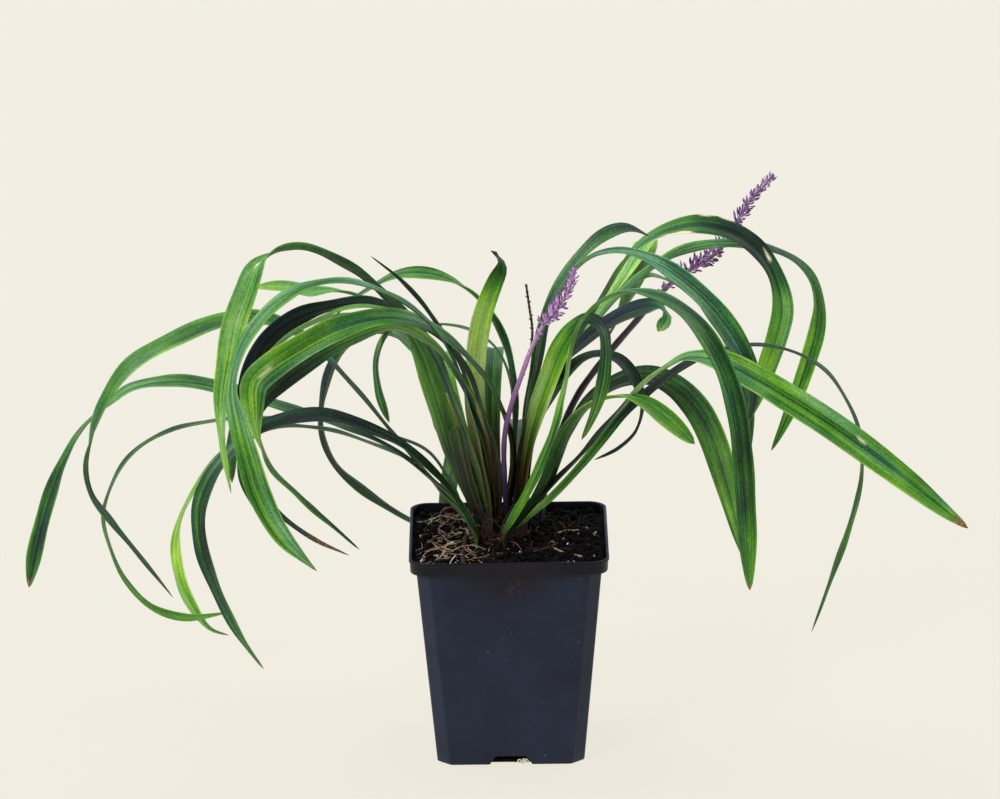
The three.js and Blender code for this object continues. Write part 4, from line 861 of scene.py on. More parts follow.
def addSpike(heap, flower, draw):
    run = smoothRun([place(*row) for row in flower["spike"]], 1.0)
    lengths = walkedLengths(run)
    whole = lengths[-1]
    shares = lengths / whole
    addTube(heap, run, flower["radius"] * (0.8 - 0.5 * shares), 9, reach=0.12, tone=flower["hue"])
    along = unit(np.gradient(run, axis=0))
    up = 0.0
    turn = 0.0
    while up < whole * 0.985:
        spot = readAt(up, lengths, run)
        ahead = unit(readAt(up, lengths, along))
        first = unit(np.cross(ahead, (0.2, -1, 0.1)))
        second = np.cross(ahead, first)
        share = up / whole
        taper = 1 - 0.5 * share**1.6
        bare = share < flower["bare"]
        for k in range(bud["inCluster"]):
            if draw.random() < (bud["missingBare"] if bare else bud["missing"]):
                continue
            angle = math.radians(turn + k * 360 / bud["inCluster"] + draw.uniform(-22, 22))
            out = first * math.cos(angle) + second * math.sin(angle)
            lean = draw.uniform(-0.15, 1.1) + share * 0.6
            direction = unit(out + ahead * lean)
            length = flower["spikeWidth"] / 2 * taper * draw.uniform(0.6, 1.3)
            if bare:
                length *= bud["lengthBare"]
            start = spot + ahead * draw.uniform(-0.5, 0.5) + out * flower["radius"] * 0.3
            dusky = 0.7 if draw.random() < 0.25 else draw.uniform(-0.5, 0.2)
            radius = bud["radius"] * taper * draw.uniform(0.8, 1.35)
            addBud(heap, start, direction, length, radius, flower["hue"] + dusky)
        turn += bud["turn"]
        up += bud["clusterGap"] * (1 - 0.3 * share)
    # a few buds close over the tip
    side = unit(np.cross(along[-1], (0.2, -1, 0.1)))
    for k in range(bud["tipCount"]):
        angle = k / bud["tipCount"] * 2 * math.pi
        out = side * math.cos(angle) + np.cross(along[-1], side) * math.sin(angle)
        addBud(heap, run[-1] - along[-1] * 1.2, unit(along[-1] + out * 0.35), bud["tipLength"],
               bud["tipRadius"], flower["hue"])


def budMaterial():
    # flower bud: matt velvety petals, pale lilac at the foot and violet at the point
    material, tree = newMaterial("lilac petal")
    reach = addNode(tree, "ShaderNodeAttribute", {"attribute_name": "reach"}).outputs["Fac"]
    tone = addNode(tree, "ShaderNodeAttribute", {"attribute_name": "tone"}).outputs["Fac"]
    pink = addNode(tree, "ShaderNodeValToRGB", links={"Fac": reach})
    fillRamp(pink, [(0.0, "#92508f"), (0.3, "#f6daf4"), (0.6, "#e4b2e8"), (0.84, "#a765b8"),
                    (1.0, "#4d2558")])
    dark = addNode(tree, "ShaderNodeValToRGB", links={"Fac": reach})
    fillRamp(dark, [(0.0, "#5a2c52"), (0.3, "#d9afd8"), (0.5, "#9a69b0"), (0.75, "#532b6c"),
                    (1.0, "#230f30")])
    colour = addNode(tree, "ShaderNodeMix", {"data_type": "RGBA", "clamp_factor": True}, links={
        "Factor": tone, 6: pink.outputs[0], 7: dark.outputs[0]})
    petal = addNode(tree, "ShaderNodeBsdfPrincipled", values={"Roughness": 0.55, "Sheen Weight": 0.3,
                    "Sheen Roughness": 0.4}, links={"Base Color": colour.outputs[2]})
    glow = addNode(tree, "ShaderNodeBsdfTranslucent", links={"Color": colour.outputs[2]})
    both = addNode(tree, "ShaderNodeMixShader", values={0: 0.25},
                   links={1: petal.outputs[0], 2: glow.outputs[0]})
    finishMaterial(tree, both)
    return material


def stalkMaterial():
    # flower stalk: smooth juicy stem, flushed purple, pinker towards the buds
    material, tree = newMaterial("flushed stalk")
    up = addNode(tree, "ShaderNodeAttribute", {"attribute_name": "reach"}).outputs["Fac"]
    tone = addNode(tree, "ShaderNodeAttribute", {"attribute_name": "tone"}).outputs["Fac"]
    spot = addNode(tree, "ShaderNodeTexCoord").outputs["Object"]
    grain = addNode(tree, "ShaderNodeTexNoise", values={"Scale": 1 / (2.5 * mm), "Detail": 3.0},
                    links={"Vector": spot})
    pink = addNode(tree, "ShaderNodeValToRGB", links={"Fac": up})
    fillRamp(pink, [(0.0, "#160e1a"), (0.3, "#2a193a"), (0.52, "#43245a"), (0.7, "#713f7b"),
                    (1.0, "#b883b3")])
    dark = addNode(tree, "ShaderNodeValToRGB", links={"Fac": up})
    fillRamp(dark, [(0.0, "#1d1217"), (0.45, "#281a33"), (0.62, "#382337"), (1.0, "#6f4854")])
    colour = addNode(tree, "ShaderNodeMix", {"data_type": "RGBA", "clamp_factor": True}, links={
        "Factor": tone, 6: pink.outputs[0], 7: dark.outputs[0]})
    mottled = addNode(tree, "ShaderNodeMix", {"data_type": "RGBA", "blend_type": "OVERLAY"},
                      {"Factor": 0.45}, {6: colour.outputs[2], 7: grain.outputs["Fac"]})
    bump = addNode(tree, "ShaderNodeBump", values={"Strength": 0.25, "Distance": 0.08 * mm},
                   links={"Height": grain.outputs["Fac"]})
    skin = addNode(tree, "ShaderNodeBsdfPrincipled", values={"Roughness": 0.38}, links={
        "Base Color": mottled.outputs[2], "Normal": bump.outputs[0]})
    finishMaterial(tree, skin)
    return material


def dryStalkMaterial():
    # spent stalk: dead brown stem, dull, with darker scars
    material, tree = newMaterial("dead stalk")
    spot = addNode(tree, "ShaderNodeTexCoord").outputs["Object"]
    grain = addNode(tree, "ShaderNodeTexNoise", values={"Scale": 1 / (1.8 * mm), "Detail": 4.0},
                    links={"Vector": spot})
    colour = addNode(tree, "ShaderNodeValToRGB", links={"Fac": grain.outputs["Fac"]})
    fillRamp(colour, [(0.35, "#241513"), (0.55, "#4b2f2a"), (0.7, "#7a5446")])
    skin = addNode(tree, "ShaderNodeBsdfPrincipled", values={"Roughness": 0.8}, links={
        "Base Color": colour.outputs[0]})
    finishMaterial(tree, skin)
    return material


def makeFlowers():
    draw = random.Random(23)
    petals = budMaterial()
    skin = stalkMaterial()
    for name, flower in flowers.items():
        run = stalkRun(flower["stem"])
        shares = np.linspace(0, 1, len(run))
        stem = newHeap("reach", "tone")
        joints = 0.06 * np.sin(shares * len(run) * 0.9)
        addTube(stem, run, flower["radius"] * (1.12 - 0.24 * shares) + joints, stalk["sides"],
                reach=shares, tone=0.0 if name == "front" else 1.0)
        makePiece(f"flower_stalk_{name}_skin", stem, skin, [f"flower_stalk_{name}"])
        spike = newHeap("reach", "tone")
        addSpike(spike, flower, draw)
        makePiece(f"flower_spike_{name}_buds", spike, petals, [f"flower_spike_{name}"])
    run = stalkRun(spent["stem"])
    shares = np.linspace(0, 1, len(run))
    dead = newHeap()
    addTube(dead, run, spent["radius"] * (1.2 - 0.45 * shares), 8)
    lengths = walkedLengths(run)
    along = unit(np.gradient(run, axis=0))
    up = lengths[-1] * spent["scarsFrom"]
    while up < lengths[-1]:
        spot = readAt(up, lengths, run)
        ahead = unit(readAt(up, lengths, along))
        angle = draw.uniform(0, 2 * math.pi)
        out = np.array((math.cos(angle), math.sin(angle), 0.3))
        addTube(dead, spot + np.outer((0, 0.5, 1.1), out), (0.5, 0.42, 0.25), 6)
        addTube(dead, spot + np.outer((-0.3, 0, 0.3), ahead), (0.5, 0.8, 0.5), 8)
        up += spent["scarGap"] * draw.uniform(0.7, 1.3)
    makePiece("spent_stalk_skin", dead, dryStalkMaterial(), ["spent_stalk"])


# The pot. Half widths are taken from the pot's axis to the middle of a side.
pot = {
    "height": 100,
    "rimHalf": 45,
    "rimCorner": 8.5,
    "rimBand": 6.4,
    "bodyTopHalf": 41.7,
    "footHalf": 33.4,
    "chamfer": 6,
    "wall": 1.2,
    "floorUnder": 3,
    "floorTop": 4.2,
    "notch": {"bottom": 19.5, "top": 14, "height": 4.2, "deep": 9, "corner": 1.2},
    "middleFoot": 6,
    "drain": {"radius": 3.6, "at": 19},
    "edgeRound": 1.1,
    "edgeShare": 0.3,  # the share of a corner's steps that each of its two edges takes
    "cornerSteps": 12,
    "sideSteps": 8,
    "bow": 0.35,  # thin walls bulge a little between the corners
}


# Places turned about the pot's axis.
def turned(places, turn):
    x, y, z = np.asarray(places, float).T
    c, s = math.cos(turn), math.sin(turn)
    return np.stack([x * c - y * s, x * s + y * c, z], axis=-1)


# One level of the pot: a square whose corners are cut flat (roundness 0) or are quarter circles (1).
def squareRing(half, corner, roundness, z, bow=0.0):
    reach, soften, share = half - corner, pot["edgeRound"], pot["edgeShare"]

    # the short curve from a side (s = 0) to the flat cut (s = 1)
    def edge(s):
        return np.array((half - 0.5 * soften * s**2, reach - soften * (1 - s) ** 2 + 0.5 * soften * s**2))

    places = []
    for t in np.arange(pot["cornerSteps"] + 1) / pot["cornerSteps"]:
        if t < share:
            flat = edge(t / share)
        elif t > 1 - share:
            flat = edge((1 - t) / share)[::-1]
        else:
            flat = edge(1) + (edge(1)[::-1] - edge(1)) * (t - share) / (1 - 2 * share)
        angle = t * math.pi / 2
        arc = reach + corner * np.array((math.cos(angle), math.sin(angle)))
        places.append((*(flat * (1 - roundness) + arc * roundness), z))
    for i in range(1, pot["sideSteps"]):
        x = reach - 2 * reach * i / pot["sideSteps"]
        places.append((x, half + bow * (1 - (x / reach) ** 2), z))
    return np.vstack([turned(places, side * math.pi / 2) for side in range(4)])


def bodyHalf(z):
    share = z / (pot["height"] - pot["rimBand"])
    return pot["footHalf"] + (pot["bodyTopHalf"] - pot["footHalf"]) * share


# The pot's levels, up the inside from its floor, over the rim, down the outside and under the foot.
def potRings():
    top, wall, chamfer = pot["height"], pot["wall"], pot["chamfer"]
    shoulder = top - pot["rimBand"]
    shelf = shoulder + wall

    def bodyLevels(low, high, inset, corner, count):
        rings = []
        for i in range(count + 1):
            z = low + (high - low) * i / count
            swell = pot["bow"] * math.sin(math.pi * min(1, max(0, z / shoulder)))
            rings.append(squareRing(bodyHalf(z) - inset, corner, 0, z, swell))
        return rings

    inside = bodyLevels(pot["floorTop"], shelf, wall, chamfer - 0.5, 14)
    # a level of the rim is so much narrower than its widest, with so much less of a corner
    rim = [squareRing(pot["rimHalf"] - less, pot["rimCorner"] - lessCorner, 1, z) for less, lessCorner, z in (
        (wall + 0.7, wall, shelf), (wall + 0.35, wall, shelf + 0.3), (wall + 0.2, wall, top - 0.5),
        (wall - 0.05, wall, top - 0.1), (wall - 0.35, 0.8, top), (0.35, 0.3, top), (0.08, 0, top - 0.15),
        (0, 0, top - 0.5), (0, 0, top - 1.1), (0.4, 0.4, top - 1.6), (0.5, 0.5, top - 2.2),
        (0.62, 0.5, shoulder + 0.7), (0.8, 0.5, shoulder + 0.2), (1.3, 0.6, shoulder))]
    rim.append(squareRing(pot["bodyTopHalf"] + 0.4, chamfer, 0.1, shoulder))
    rim.append(squareRing(pot["bodyTopHalf"] + 0.05, chamfer, 0, shoulder - 0.3))
    outside = bodyLevels(0.5, shoulder - 1, 0, chamfer, 16)[::-1]
    foot = [
        squareRing(pot["footHalf"] - 0.12, chamfer, 0, 0.12),
        squareRing(pot["footHalf"] - 0.4, chamfer, 0, 0),
        squareRing(bodyHalf(0) - wall, chamfer - 0.5, 0, 0),
        squareRing(bodyHalf(0) - wall, chamfer - 0.5, 0, pot["floorUnder"]),
    ]
    return inside + rim + outside + foot


# A plain closed cutter from a ring at each of two or more levels.
def cutter(name, rings):
    mesh = bpy.data.meshes.new(name)
    mesh.from_pydata((np.vstack(rings) * mm).tolist(), [], closedFaces(len(rings), len(rings[0])))
    tool = bpy.data.objects.new(name, mesh)
    bpy.context.scene.collection.objects.link(tool)
    return tool


def carve(piece, tool, operation):
    modifier = piece.modifiers.new(tool.name, "BOOLEAN")
    modifier.operation = operation
    modifier.solver = "EXACT"
    modifier.object = tool
    bpy.context.view_layer.objects.active = piece
    with bpy.context.temp_override(object=piece, active_object=piece):
        bpy.ops.object.modifier_apply(modifier=modifier.name)
    bpy.data.objects.remove(tool)


def roundRing(radius, centre, z, sides=40):
    angles = np.arange(sides) / sides * 2 * math.pi
    return np.column_stack([centre[0] + radius * np.cos(angles), centre[1] + radius * np.sin(angles),
                            np.full(sides, float(z))])


# The slot under the middle of a side, which lets water out. Its upper corners are rounded.
def notchRings(turn):
    notch = pot["notch"]
    low, high, tall = notch["bottom"] / 2, notch["top"] / 2, notch["height"]
    slope = np.array((high - low, tall)) / math.hypot(high - low, tall)
    middle = np.array((high, tall))
    start = middle - slope * notch["corner"]
    end = np.array((high - notch["corner"], tall))
    profile = [(-low, -1), (low, -1), (low, 0)]
    for t in np.arange(7) / 6:
        profile.append(tuple(start * (1 - t) ** 2 + middle * 2 * t * (1 - t) + end * t * t))
    profile += [(-x, z) for x, z in profile[:2:-1]] + [(-low, 0)]
    return [turned([(x, -pot["footHalf"] + out, z) for x, z in profile], turn)
            for out in (notch["deep"] - 2, -2)]


def potMaterial():
    # polypropylene, injection moulded and slightly satin: dark slate, with fine flow lines, dull scuffs,
    # dust and a smear of soil under the rim; the rim and a half-round below it are darkened with painted
    # shade
    material, tree = newMaterial("moulded polypropylene")
    spot = addNode(tree, "ShaderNodeTexCoord").outputs["Object"]
    cloud = addNode(tree, "ShaderNodeTexNoise", values={
        "Scale": 1 / (26 * mm), "Detail": 5.0, "Roughness": 0.6}, links={"Vector": spot})
    slate = addNode(tree, "ShaderNodeValToRGB", links={"Fac": cloud.outputs["Fac"]})
    fillRamp(slate, [(0.3, "#151b2b"), (0.5, "#1a2234"), (0.72, "#20293f")])
    # dust: sparse pale specks about 0.4 mm across
    dust = addNode(tree, "ShaderNodeTexVoronoi", values={"Scale": 1 / (3.2 * mm), "Randomness": 1.0},
                   links={"Vector": spot})
    speck = addNode(tree, "ShaderNodeMapRange", values={"From Min": 0.11, "From Max": 0.05},
                    links={"Value": dust.outputs["Distance"]})
    patch = addNode(tree, "ShaderNodeTexNoise", values={"Scale": 1 / (14 * mm), "Detail": 2.0},
                    links={"Vector": spot})
    patchy = addNode(tree, "ShaderNodeMapRange", values={"From Min": 0.52, "From Max": 0.68, "To Max": 0.7},
                     links={"Value": patch.outputs["Fac"]})
    dusty = addNode(tree, "ShaderNodeMath", {"operation": "MULTIPLY"},
                    links={0: speck.outputs[0], 1: patchy.outputs[0]})
    dusted = addNode(tree, "ShaderNodeMix", {"data_type": "RGBA"}, {7: linear("#8f8a86")}, {
        "Factor": dusty.outputs[0], 6: slate.outputs[0]})
    # the rim is painted darker than the walls below it: painted shade
    height = addNode(tree, "ShaderNodeSeparateXYZ", links={"Vector": spot})
    rimShade = addNode(tree, "ShaderNodeMapRange", values={"From Min": 92.5 * mm, "From Max": 94.5 * mm,
                     "To Max": 0.92}, links={"Value": height.outputs["Z"]})
    deep = addNode(tree, "ShaderNodeMix", {"data_type": "RGBA"}, {7: linear("#05060f")}, {
        "Factor": rimShade.outputs[0], 6: dusted.outputs[2]})
    # a plum-dark half-round of painted shade below the middle of the front rim, with a smear of soil in it
    shadeMiddle = addNode(tree, "ShaderNodeVectorMath", {"operation": "DISTANCE"},
                  {1: (-1 * mm, -42 * mm, 97 * mm)}, {0: spot})
    halfRoundShade = addNode(tree, "ShaderNodeMapRange", {"interpolation_type": "SMOOTHSTEP"}, {
        "From Min": 26 * mm, "From Max": 8 * mm, "To Max": 0.85}, {"Value": shadeMiddle.outputs["Value"]})
    shaded = addNode(tree, "ShaderNodeMix", {"data_type": "RGBA"}, {7: linear("#120b1a")}, {
        "Factor": halfRoundShade.outputs[0], 6: deep.outputs[2]})
    away = addNode(tree, "ShaderNodeVectorMath", {"operation": "DISTANCE"},
                   {1: (2 * mm, -41 * mm, 88 * mm)}, {0: spot})
    near = addNode(tree, "ShaderNodeMapRange", values={"From Min": 7 * mm, "From Max": 1.5 * mm},
                   links={"Value": away.outputs["Value"]})
    crumb = addNode(tree, "ShaderNodeTexNoise", values={"Scale": 1 / (1.8 * mm), "Detail": 3.0},
                    links={"Vector": spot})
    crumbs = addNode(tree, "ShaderNodeMapRange", values={"From Min": 0.5, "From Max": 0.62},
                     links={"Value": crumb.outputs["Fac"]})
    smear = addNode(tree, "ShaderNodeMath", {"operation": "MULTIPLY", "use_clamp": True},
                    links={0: near.outputs[0], 1: crumbs.outputs[0]})
    soiled = addNode(tree, "ShaderNodeMix", {"data_type": "RGBA"}, {7: linear("#33271f")}, {
        "Factor": smear.outputs[0], 6: shaded.outputs[2]})
    scuff = addNode(tree, "ShaderNodeTexNoise", values={
        "Scale": 1 / (7 * mm), "Detail": 6.0, "Roughness": 0.7}, links={"Vector": spot})
    rough = addNode(tree, "ShaderNodeMapRange", values={"From Min": 0.3, "From Max": 0.7, "To Min": 0.36,
                    "To Max": 0.56}, links={"Value": scuff.outputs["Fac"]})
    grain = addNode(tree, "ShaderNodeTexNoise", values={"Scale": 1 / (0.9 * mm), "Detail": 2.0},
                    links={"Vector": spot})
    bump = addNode(tree, "ShaderNodeBump", values={"Strength": 0.12, "Distance": 0.1 * mm},
                   links={"Height": grain.outputs["Fac"]})
    plastic = addNode(tree, "ShaderNodeBsdfPrincipled", values={"IOR": 1.49, "Specular IOR Level": 0.22},
                      links={"Base Color": soiled.outputs[2], "Roughness": rough.outputs[0],
                             "Normal": bump.outputs[0]})
    finishMaterial(tree, plastic)
    return material


def makePot():
    rings = potRings()
    heap = newHeap()
    # the levels begin inside, so the faces go round the other way
    addToHeap(heap, np.vstack(rings), [face[::-1] for face in closedFaces(len(rings), len(rings[0]))])
    piece = makePiece("pot_shell", heap, potMaterial(), ["pot"])
    levels = (0, pot["floorTop"] - 0.2)
    carve(piece, cutter("middle foot", [roundRing(pot["middleFoot"], (0, 0), z) for z in levels]), "UNION")
    levels = (pot["floorUnder"] - 1, pot["floorTop"] + 1)
    for quarter in range(4):
        turn = quarter * math.pi / 2
        at = pot["drain"]["at"] * math.sqrt(2)
        spot = (at * math.cos(turn + math.pi / 4), at * math.sin(turn + math.pi / 4))
        hole = cutter("drain hole", [roundRing(pot["drain"]["radius"], spot, z) for z in levels])
        carve(piece, hole, "DIFFERENCE")
        carve(piece, cutter("water slot", notchRings(turn)), "DIFFERENCE")
    piece.data.set_sharp_from_angle(angle=math.radians(38))


soil = {
    "level": 96.4,
    "mound": 3.2,
    "moundReach": 24,
    "waves": 0.5,
    "lumps": 0.9,  # the heights of three sizes of roughness
    "crumble": 0.55,
    "fine": 0.18,
    "inset": 1.5,  # the pot's wall and a little air
    "half": 43.0,  # its outline inside the rim
    "corner": 7.3,
    "rings": 50,
    "around": 300,
    "crumbs": 1700,
    "crumbsWithin": 40,
    "flakes": 34,
    # where the flakes lie: x, y and how far they spread, most of them near the front corners
    "flakesAt": [(30, -34, 7), (-33, -30, 7), (34, -5, 9), (-20, -33, 8), (0, 0, 38), (20, 20, 18)],
}


def soilHeight(x, y):
    fromCrown = math.hypot(x + 1, y) / soil["moundReach"]
    mound = soil["mound"] * math.exp(-fromCrown * fromCrown)
    waves = math.sin(x * 0.21 + 1.3) * math.cos(y * 0.17 - 0.6) + 0.5 * math.sin(x * 0.43 - y * 0.37)
    return soil["level"] + mound + soil["waves"] * waves


def crumblyHeight(x, y):
    spot = Vector((x, y, 0))
    lumps = noise.noise(spot / 5.5) * soil["lumps"]
    crumble = (abs(noise.noise(spot / 1.9 + Vector((9, 4, 2)))) * 2 - 0.5) * soil["crumble"]
    fine = noise.noise(spot / 0.8) * soil["fine"]
    return soilHeight(x, y) + lumps + crumble + fine


def soilMaterial():
    # potting soil: damp peat with rusty fibre on the crumbs, near black, and darkest in the hollows of the
    # noise that also makes its bumps, which is painted shade
    material, tree = newMaterial("damp potting soil")
    spot = addNode(tree, "ShaderNodeTexCoord").outputs["Object"]
    lumps = addNode(tree, "ShaderNodeTexNoise", values={
        "Scale": 1 / (2.2 * mm), "Detail": 6.0, "Roughness": 0.7}, links={"Vector": spot})
    colour = addNode(tree, "ShaderNodeValToRGB", links={"Fac": lumps.outputs["Fac"]})
    fillRamp(colour, [(0.36, "#030303"), (0.54, "#0a0606"), (0.64, "#190d0e"), (0.76, "#37211f")])
    bump = addNode(tree, "ShaderNodeBump", values={"Strength": 0.9, "Distance": 0.4 * mm},
                   links={"Height": lumps.outputs["Fac"]})
    peat = addNode(tree, "ShaderNodeBsdfPrincipled", values={"Roughness": 0.95, "Specular IOR Level": 0.12},
                   links={"Base Color": colour.outputs[0], "Normal": bump.outputs[0]})
    finishMaterial(tree, peat)
    return material


# A rough lump: a ball of few faces pushed in and out.
lump = {"sides": 6, "levels": 4, "push": (0.75, 1.15)}


def addLump(heap, centre, size, draw):
    sides, levels = lump["sides"], lump["levels"]
    places = [(0, 0, -1.0)]
    for level in range(1, levels):
        tilt = math.pi * level / levels
        for k in range(sides):
            angle = 2 * math.pi * (k + 0.5 * (level % 2)) / sides
            push = draw.uniform(*lump["push"])
            out = push * math.sin(tilt)
            places.append((out * math.cos(angle), out * math.sin(angle), -push * math.cos(tilt)))
    places.append((0, 0, 1.0))
    top = len(places) - 1
    faces = [[0, 1 + (k + 1) % sides, 1 + k] for k in range(sides)]
    faces += [[i + 1 for i in face] for face in ringFaces(levels - 1, sides)]
    faces += [[top, top - sides + k, top - sides + (k + 1) % sides] for k in range(sides)]
    spin = Quaternion([draw.gauss(0, 1) for axis in range(4)]).normalized()
    spun = [spin @ Vector([p * s for p, s in zip(corner, size)]) for corner in places]
    addToHeap(heap, np.array(spun) + centre, faces)


# True where a point keeps clear of the rim's inner wall and its round corners.
def inPot(x, y, margin):
    half = soil["half"] - margin
    return abs(x) < half and abs(y) < half and abs(x) + abs(y) < 2 * half - 0.59 * soil["corner"]


# So many spots at even distances round the pot on one level.
def soilOutline(half, corner, roundness):
    outline = squareRing(half, corner, roundness, 0)[:, :2]
    outline = np.vstack([outline, outline[:1]])
    lengths = walkedLengths(outline)
    return readAt(np.arange(soil["around"]) / soil["around"] * lengths[-1], lengths, outline)


def makeSoil():
    draw = random.Random(5)
    inset, chamfer = soil["inset"], pot["chamfer"] - 0.5
    low, shelf = pot["floorTop"] + 0.4, pot["height"] - pot["rimBand"] + pot["wall"] + 0.2
    edge = soilOutline(soil["half"], soil["corner"], 1)
    walls = ((bodyHalf(low) - 2, low), (bodyHalf(low), low + 0.5), (pot["bodyTopHalf"], shelf))
    rings = [np.column_stack([soilOutline(half - inset, chamfer, 0), np.full(len(edge), z)])
             for half, z in walls]
    rings.append(np.column_stack([edge, np.full(len(edge), shelf)]))
    for ring in range(soil["rings"]):
        share = 1 - ring / soil["rings"]
        drop = 0.7 * smoothstep(share, 0.955, 1.0)
        rings.append(np.array([(x, y, max(crumblyHeight(x, y) - drop, shelf + 0.1))
                               for x, y in edge * share]))
    heap = newHeap()
    sides = len(edge)
    faces = ringFaces(len(rings), sides)
    last = (len(rings) - 1) * sides
    middle = len(rings) * sides
    faces.append(list(range(sides))[::-1])
    faces += [[last + k, last + (k + 1) % sides, middle] for k in range(sides)]
    addToHeap(heap, np.vstack(rings + [[(0, 0, crumblyHeight(0, 0))]]), faces)
    within = (-soil["crumbsWithin"], soil["crumbsWithin"])
    for i in range(soil["crumbs"]):
        x, y = draw.uniform(*within), draw.uniform(*within)
        size = draw.uniform(0.35, 1.0) ** 2 * 2.1
        if not inPot(x, y, size + 0.2):
            continue
        addLump(heap, (x, y, crumblyHeight(x, y) + size * 0.25),
                [size * draw.uniform(0.7, 1.2) for axis in range(3)], draw)
    makePiece("soil_surface", heap, soilMaterial(), ["soil"])


def flakeMaterial():
    # perlite and slivers of bark: chalky white and straw
    material, tree = newMaterial("perlite and straw")
    spot = addNode(tree, "ShaderNodeTexCoord").outputs["Object"]
    vary = addNode(tree, "ShaderNodeTexNoise", values={"Scale": 1 / (6 * mm)}, links={"Vector": spot})
    colour = addNode(tree, "ShaderNodeValToRGB", links={"Fac": vary.outputs["Fac"]})
    fillRamp(colour, [(0.4, "#b09a78"), (0.52, "#dcd3c2"), (0.6, "#f4f1ea")])
    chalk = addNode(tree, "ShaderNodeBsdfPrincipled", values={"Roughness": 0.85},
                    links={"Base Color": colour.outputs[0]})
    finishMaterial(tree, chalk)
    return material


def makeFlakes():
    draw = random.Random(17)
    heap = newHeap()
    made = 0
    while made < soil["flakes"]:
        middleX, middleY, spread = draw.choice(soil["flakesAt"])
        x, y = draw.gauss(middleX, spread), draw.gauss(middleY, spread * 0.6)
        if not inPot(x, y, 1.6):
            continue
        size = draw.uniform(0.35, 1.0)
        stretch = draw.uniform(1.0, 2.6)
        addLump(heap, (x, y, crumblyHeight(x, y) + 0.7), (size * stretch, size * 0.7, size * 0.45), draw)
        made += 1
    makePiece("soil_flakes", heap, flakeMaterial())


# A dark band of soil-coloured lumps packed under the pot's floor: painted shade, put where the space under
# the floor lies in shadow, so that the slots show dark.
shadeBlock = {
    "levels": ((29.8, 0.2), (31.4, 0.6), (31.4, 2.3), (30.4, 2.8)),  # half width and height
    "corner": 6,
    "lumps": 220,
    "lumpsAlong": 25.4,
    "lumpsOut": (30.8, 31.6),
}


def makeShadeBlock():
    draw = random.Random(41)
    heap = newHeap()
    rings = [squareRing(half, shadeBlock["corner"], 0, z) for half, z in shadeBlock["levels"]]
    addToHeap(heap, np.vstack(rings), closedFaces(len(rings), len(rings[0])))
    along = shadeBlock["lumpsAlong"]
    for i in range(shadeBlock["lumps"]):
        turn = draw.randrange(4) * math.pi / 2
        x, y = draw.uniform(-along, along), -draw.uniform(*shadeBlock["lumpsOut"])
        size = draw.uniform(0.4, 1.0)
        z = draw.uniform(size * 1.2, 2.7 - size * 0.8)
        addLump(heap, turned((x, y, z), turn), (size, size, size * 0.8), draw)
    makePiece("painted_shade_under_floor", heap, soilMaterial())


# Roots on the soil. The first run goes round the shoots, and the next ones, which are thicker, cross it.
rootSize = {"round": 0.4, "crossing": 0.6, "lift": 0.5, "step": 1.2}
rootRuns = [
    [(-24, -6), (-23.5, -16), (-16, -24), (-5, -25), (7, -23.5), (18, -18), (24, -6), (26, 9), (21, 24),
     (4, 28), (-13, 24), (-24, 12), (-26, 1)],
    [(-36, -30), (-29, -27), (-24.5, -20), (-23, -13)],
    [(-37, -8), (-31, -12), (-26, -4), (-21, 4)],
    [(-33, 14), (-29, 4), (-35, -2), (-37, -12), (-30, -20), (-23.5, -17)],
    [(-30, 32), (-22, 27), (-16, 22), (-14, 16)],
    [(-12, -36), (-13.5, -30), (-10, -25), (-8.6, -19)],
    [(33, -28), (26, -24), (20, -18), (15, -14)],
    [(36, 14), (31, 9), (26, 7), (21, 2)],
]
# Roots that stray over the soil from anywhere inside x and y. curl is how sharply they turn, hop how far they
# rise out of the soil, and tone goes from brown (0) to cream (1). Some fine ones on the left are pale.
strayRoots = {
    "left": {"count": 56, "x": (-37, -14), "y": (-36, 36), "length": (18, 50), "radius": (0.12, 0.32),
             "curl": 0.42, "hop": (0.3, 1.6), "tone": (0.0, 1.0), "sides": 6},
    "right": {"count": 16, "x": (10, 36), "y": (-36, 36), "length": (8, 26), "radius": (0.12, 0.3),
              "curl": 0.3, "hop": (0.2, 0.8), "tone": (0.05, 0.4), "sides": 6},
    "fine": {"count": 130, "x": (-38, 38), "y": (-38, 38), "length": (5, 16), "radius": (0.07, 0.13),
             "curl": 0.4, "hop": (0.3, 1.2), "tone": (0.05, 0.45), "sides": 4,
             "pale": {"share": 0.4, "leftOf": -8, "tone": (0.9, 1.0)}},
}
# Wiry loops that hug the crown between the shoots.
crownRoots = {"count": 70, "middle": (-6, -5), "reach": (13, 12), "foot": 97, "top": (100, 119),
              "radius": (0.07, 0.2), "tone": (0.0, 0.3)}
# One root stands in a coil that narrows as it winds.
coil = {"middle": (-27.6, 15, 102.4), "winds": 1.9, "reach": 4.9, "narrows": 2.6, "radius": 0.3, "tone": 0.42}
# An old stem lies from the crown to the front rim.
oldStem = {
    "radius": 1.15,
    "run": [(-19.2, -12, 101.5), (-20.2, -22, 99), (-20.6, -32, 98.3), (-20, -41, 98.2)],
}
# Roots that have grown out under the pot show in the front slot.
slotRoots = {"count": 7, "x": (1.5, 6.5), "y": -33.1, "foot": 0.6, "tall": 2.5, "radius": (0.16, 0.32),
             "tone": (0.75, 1.0)}


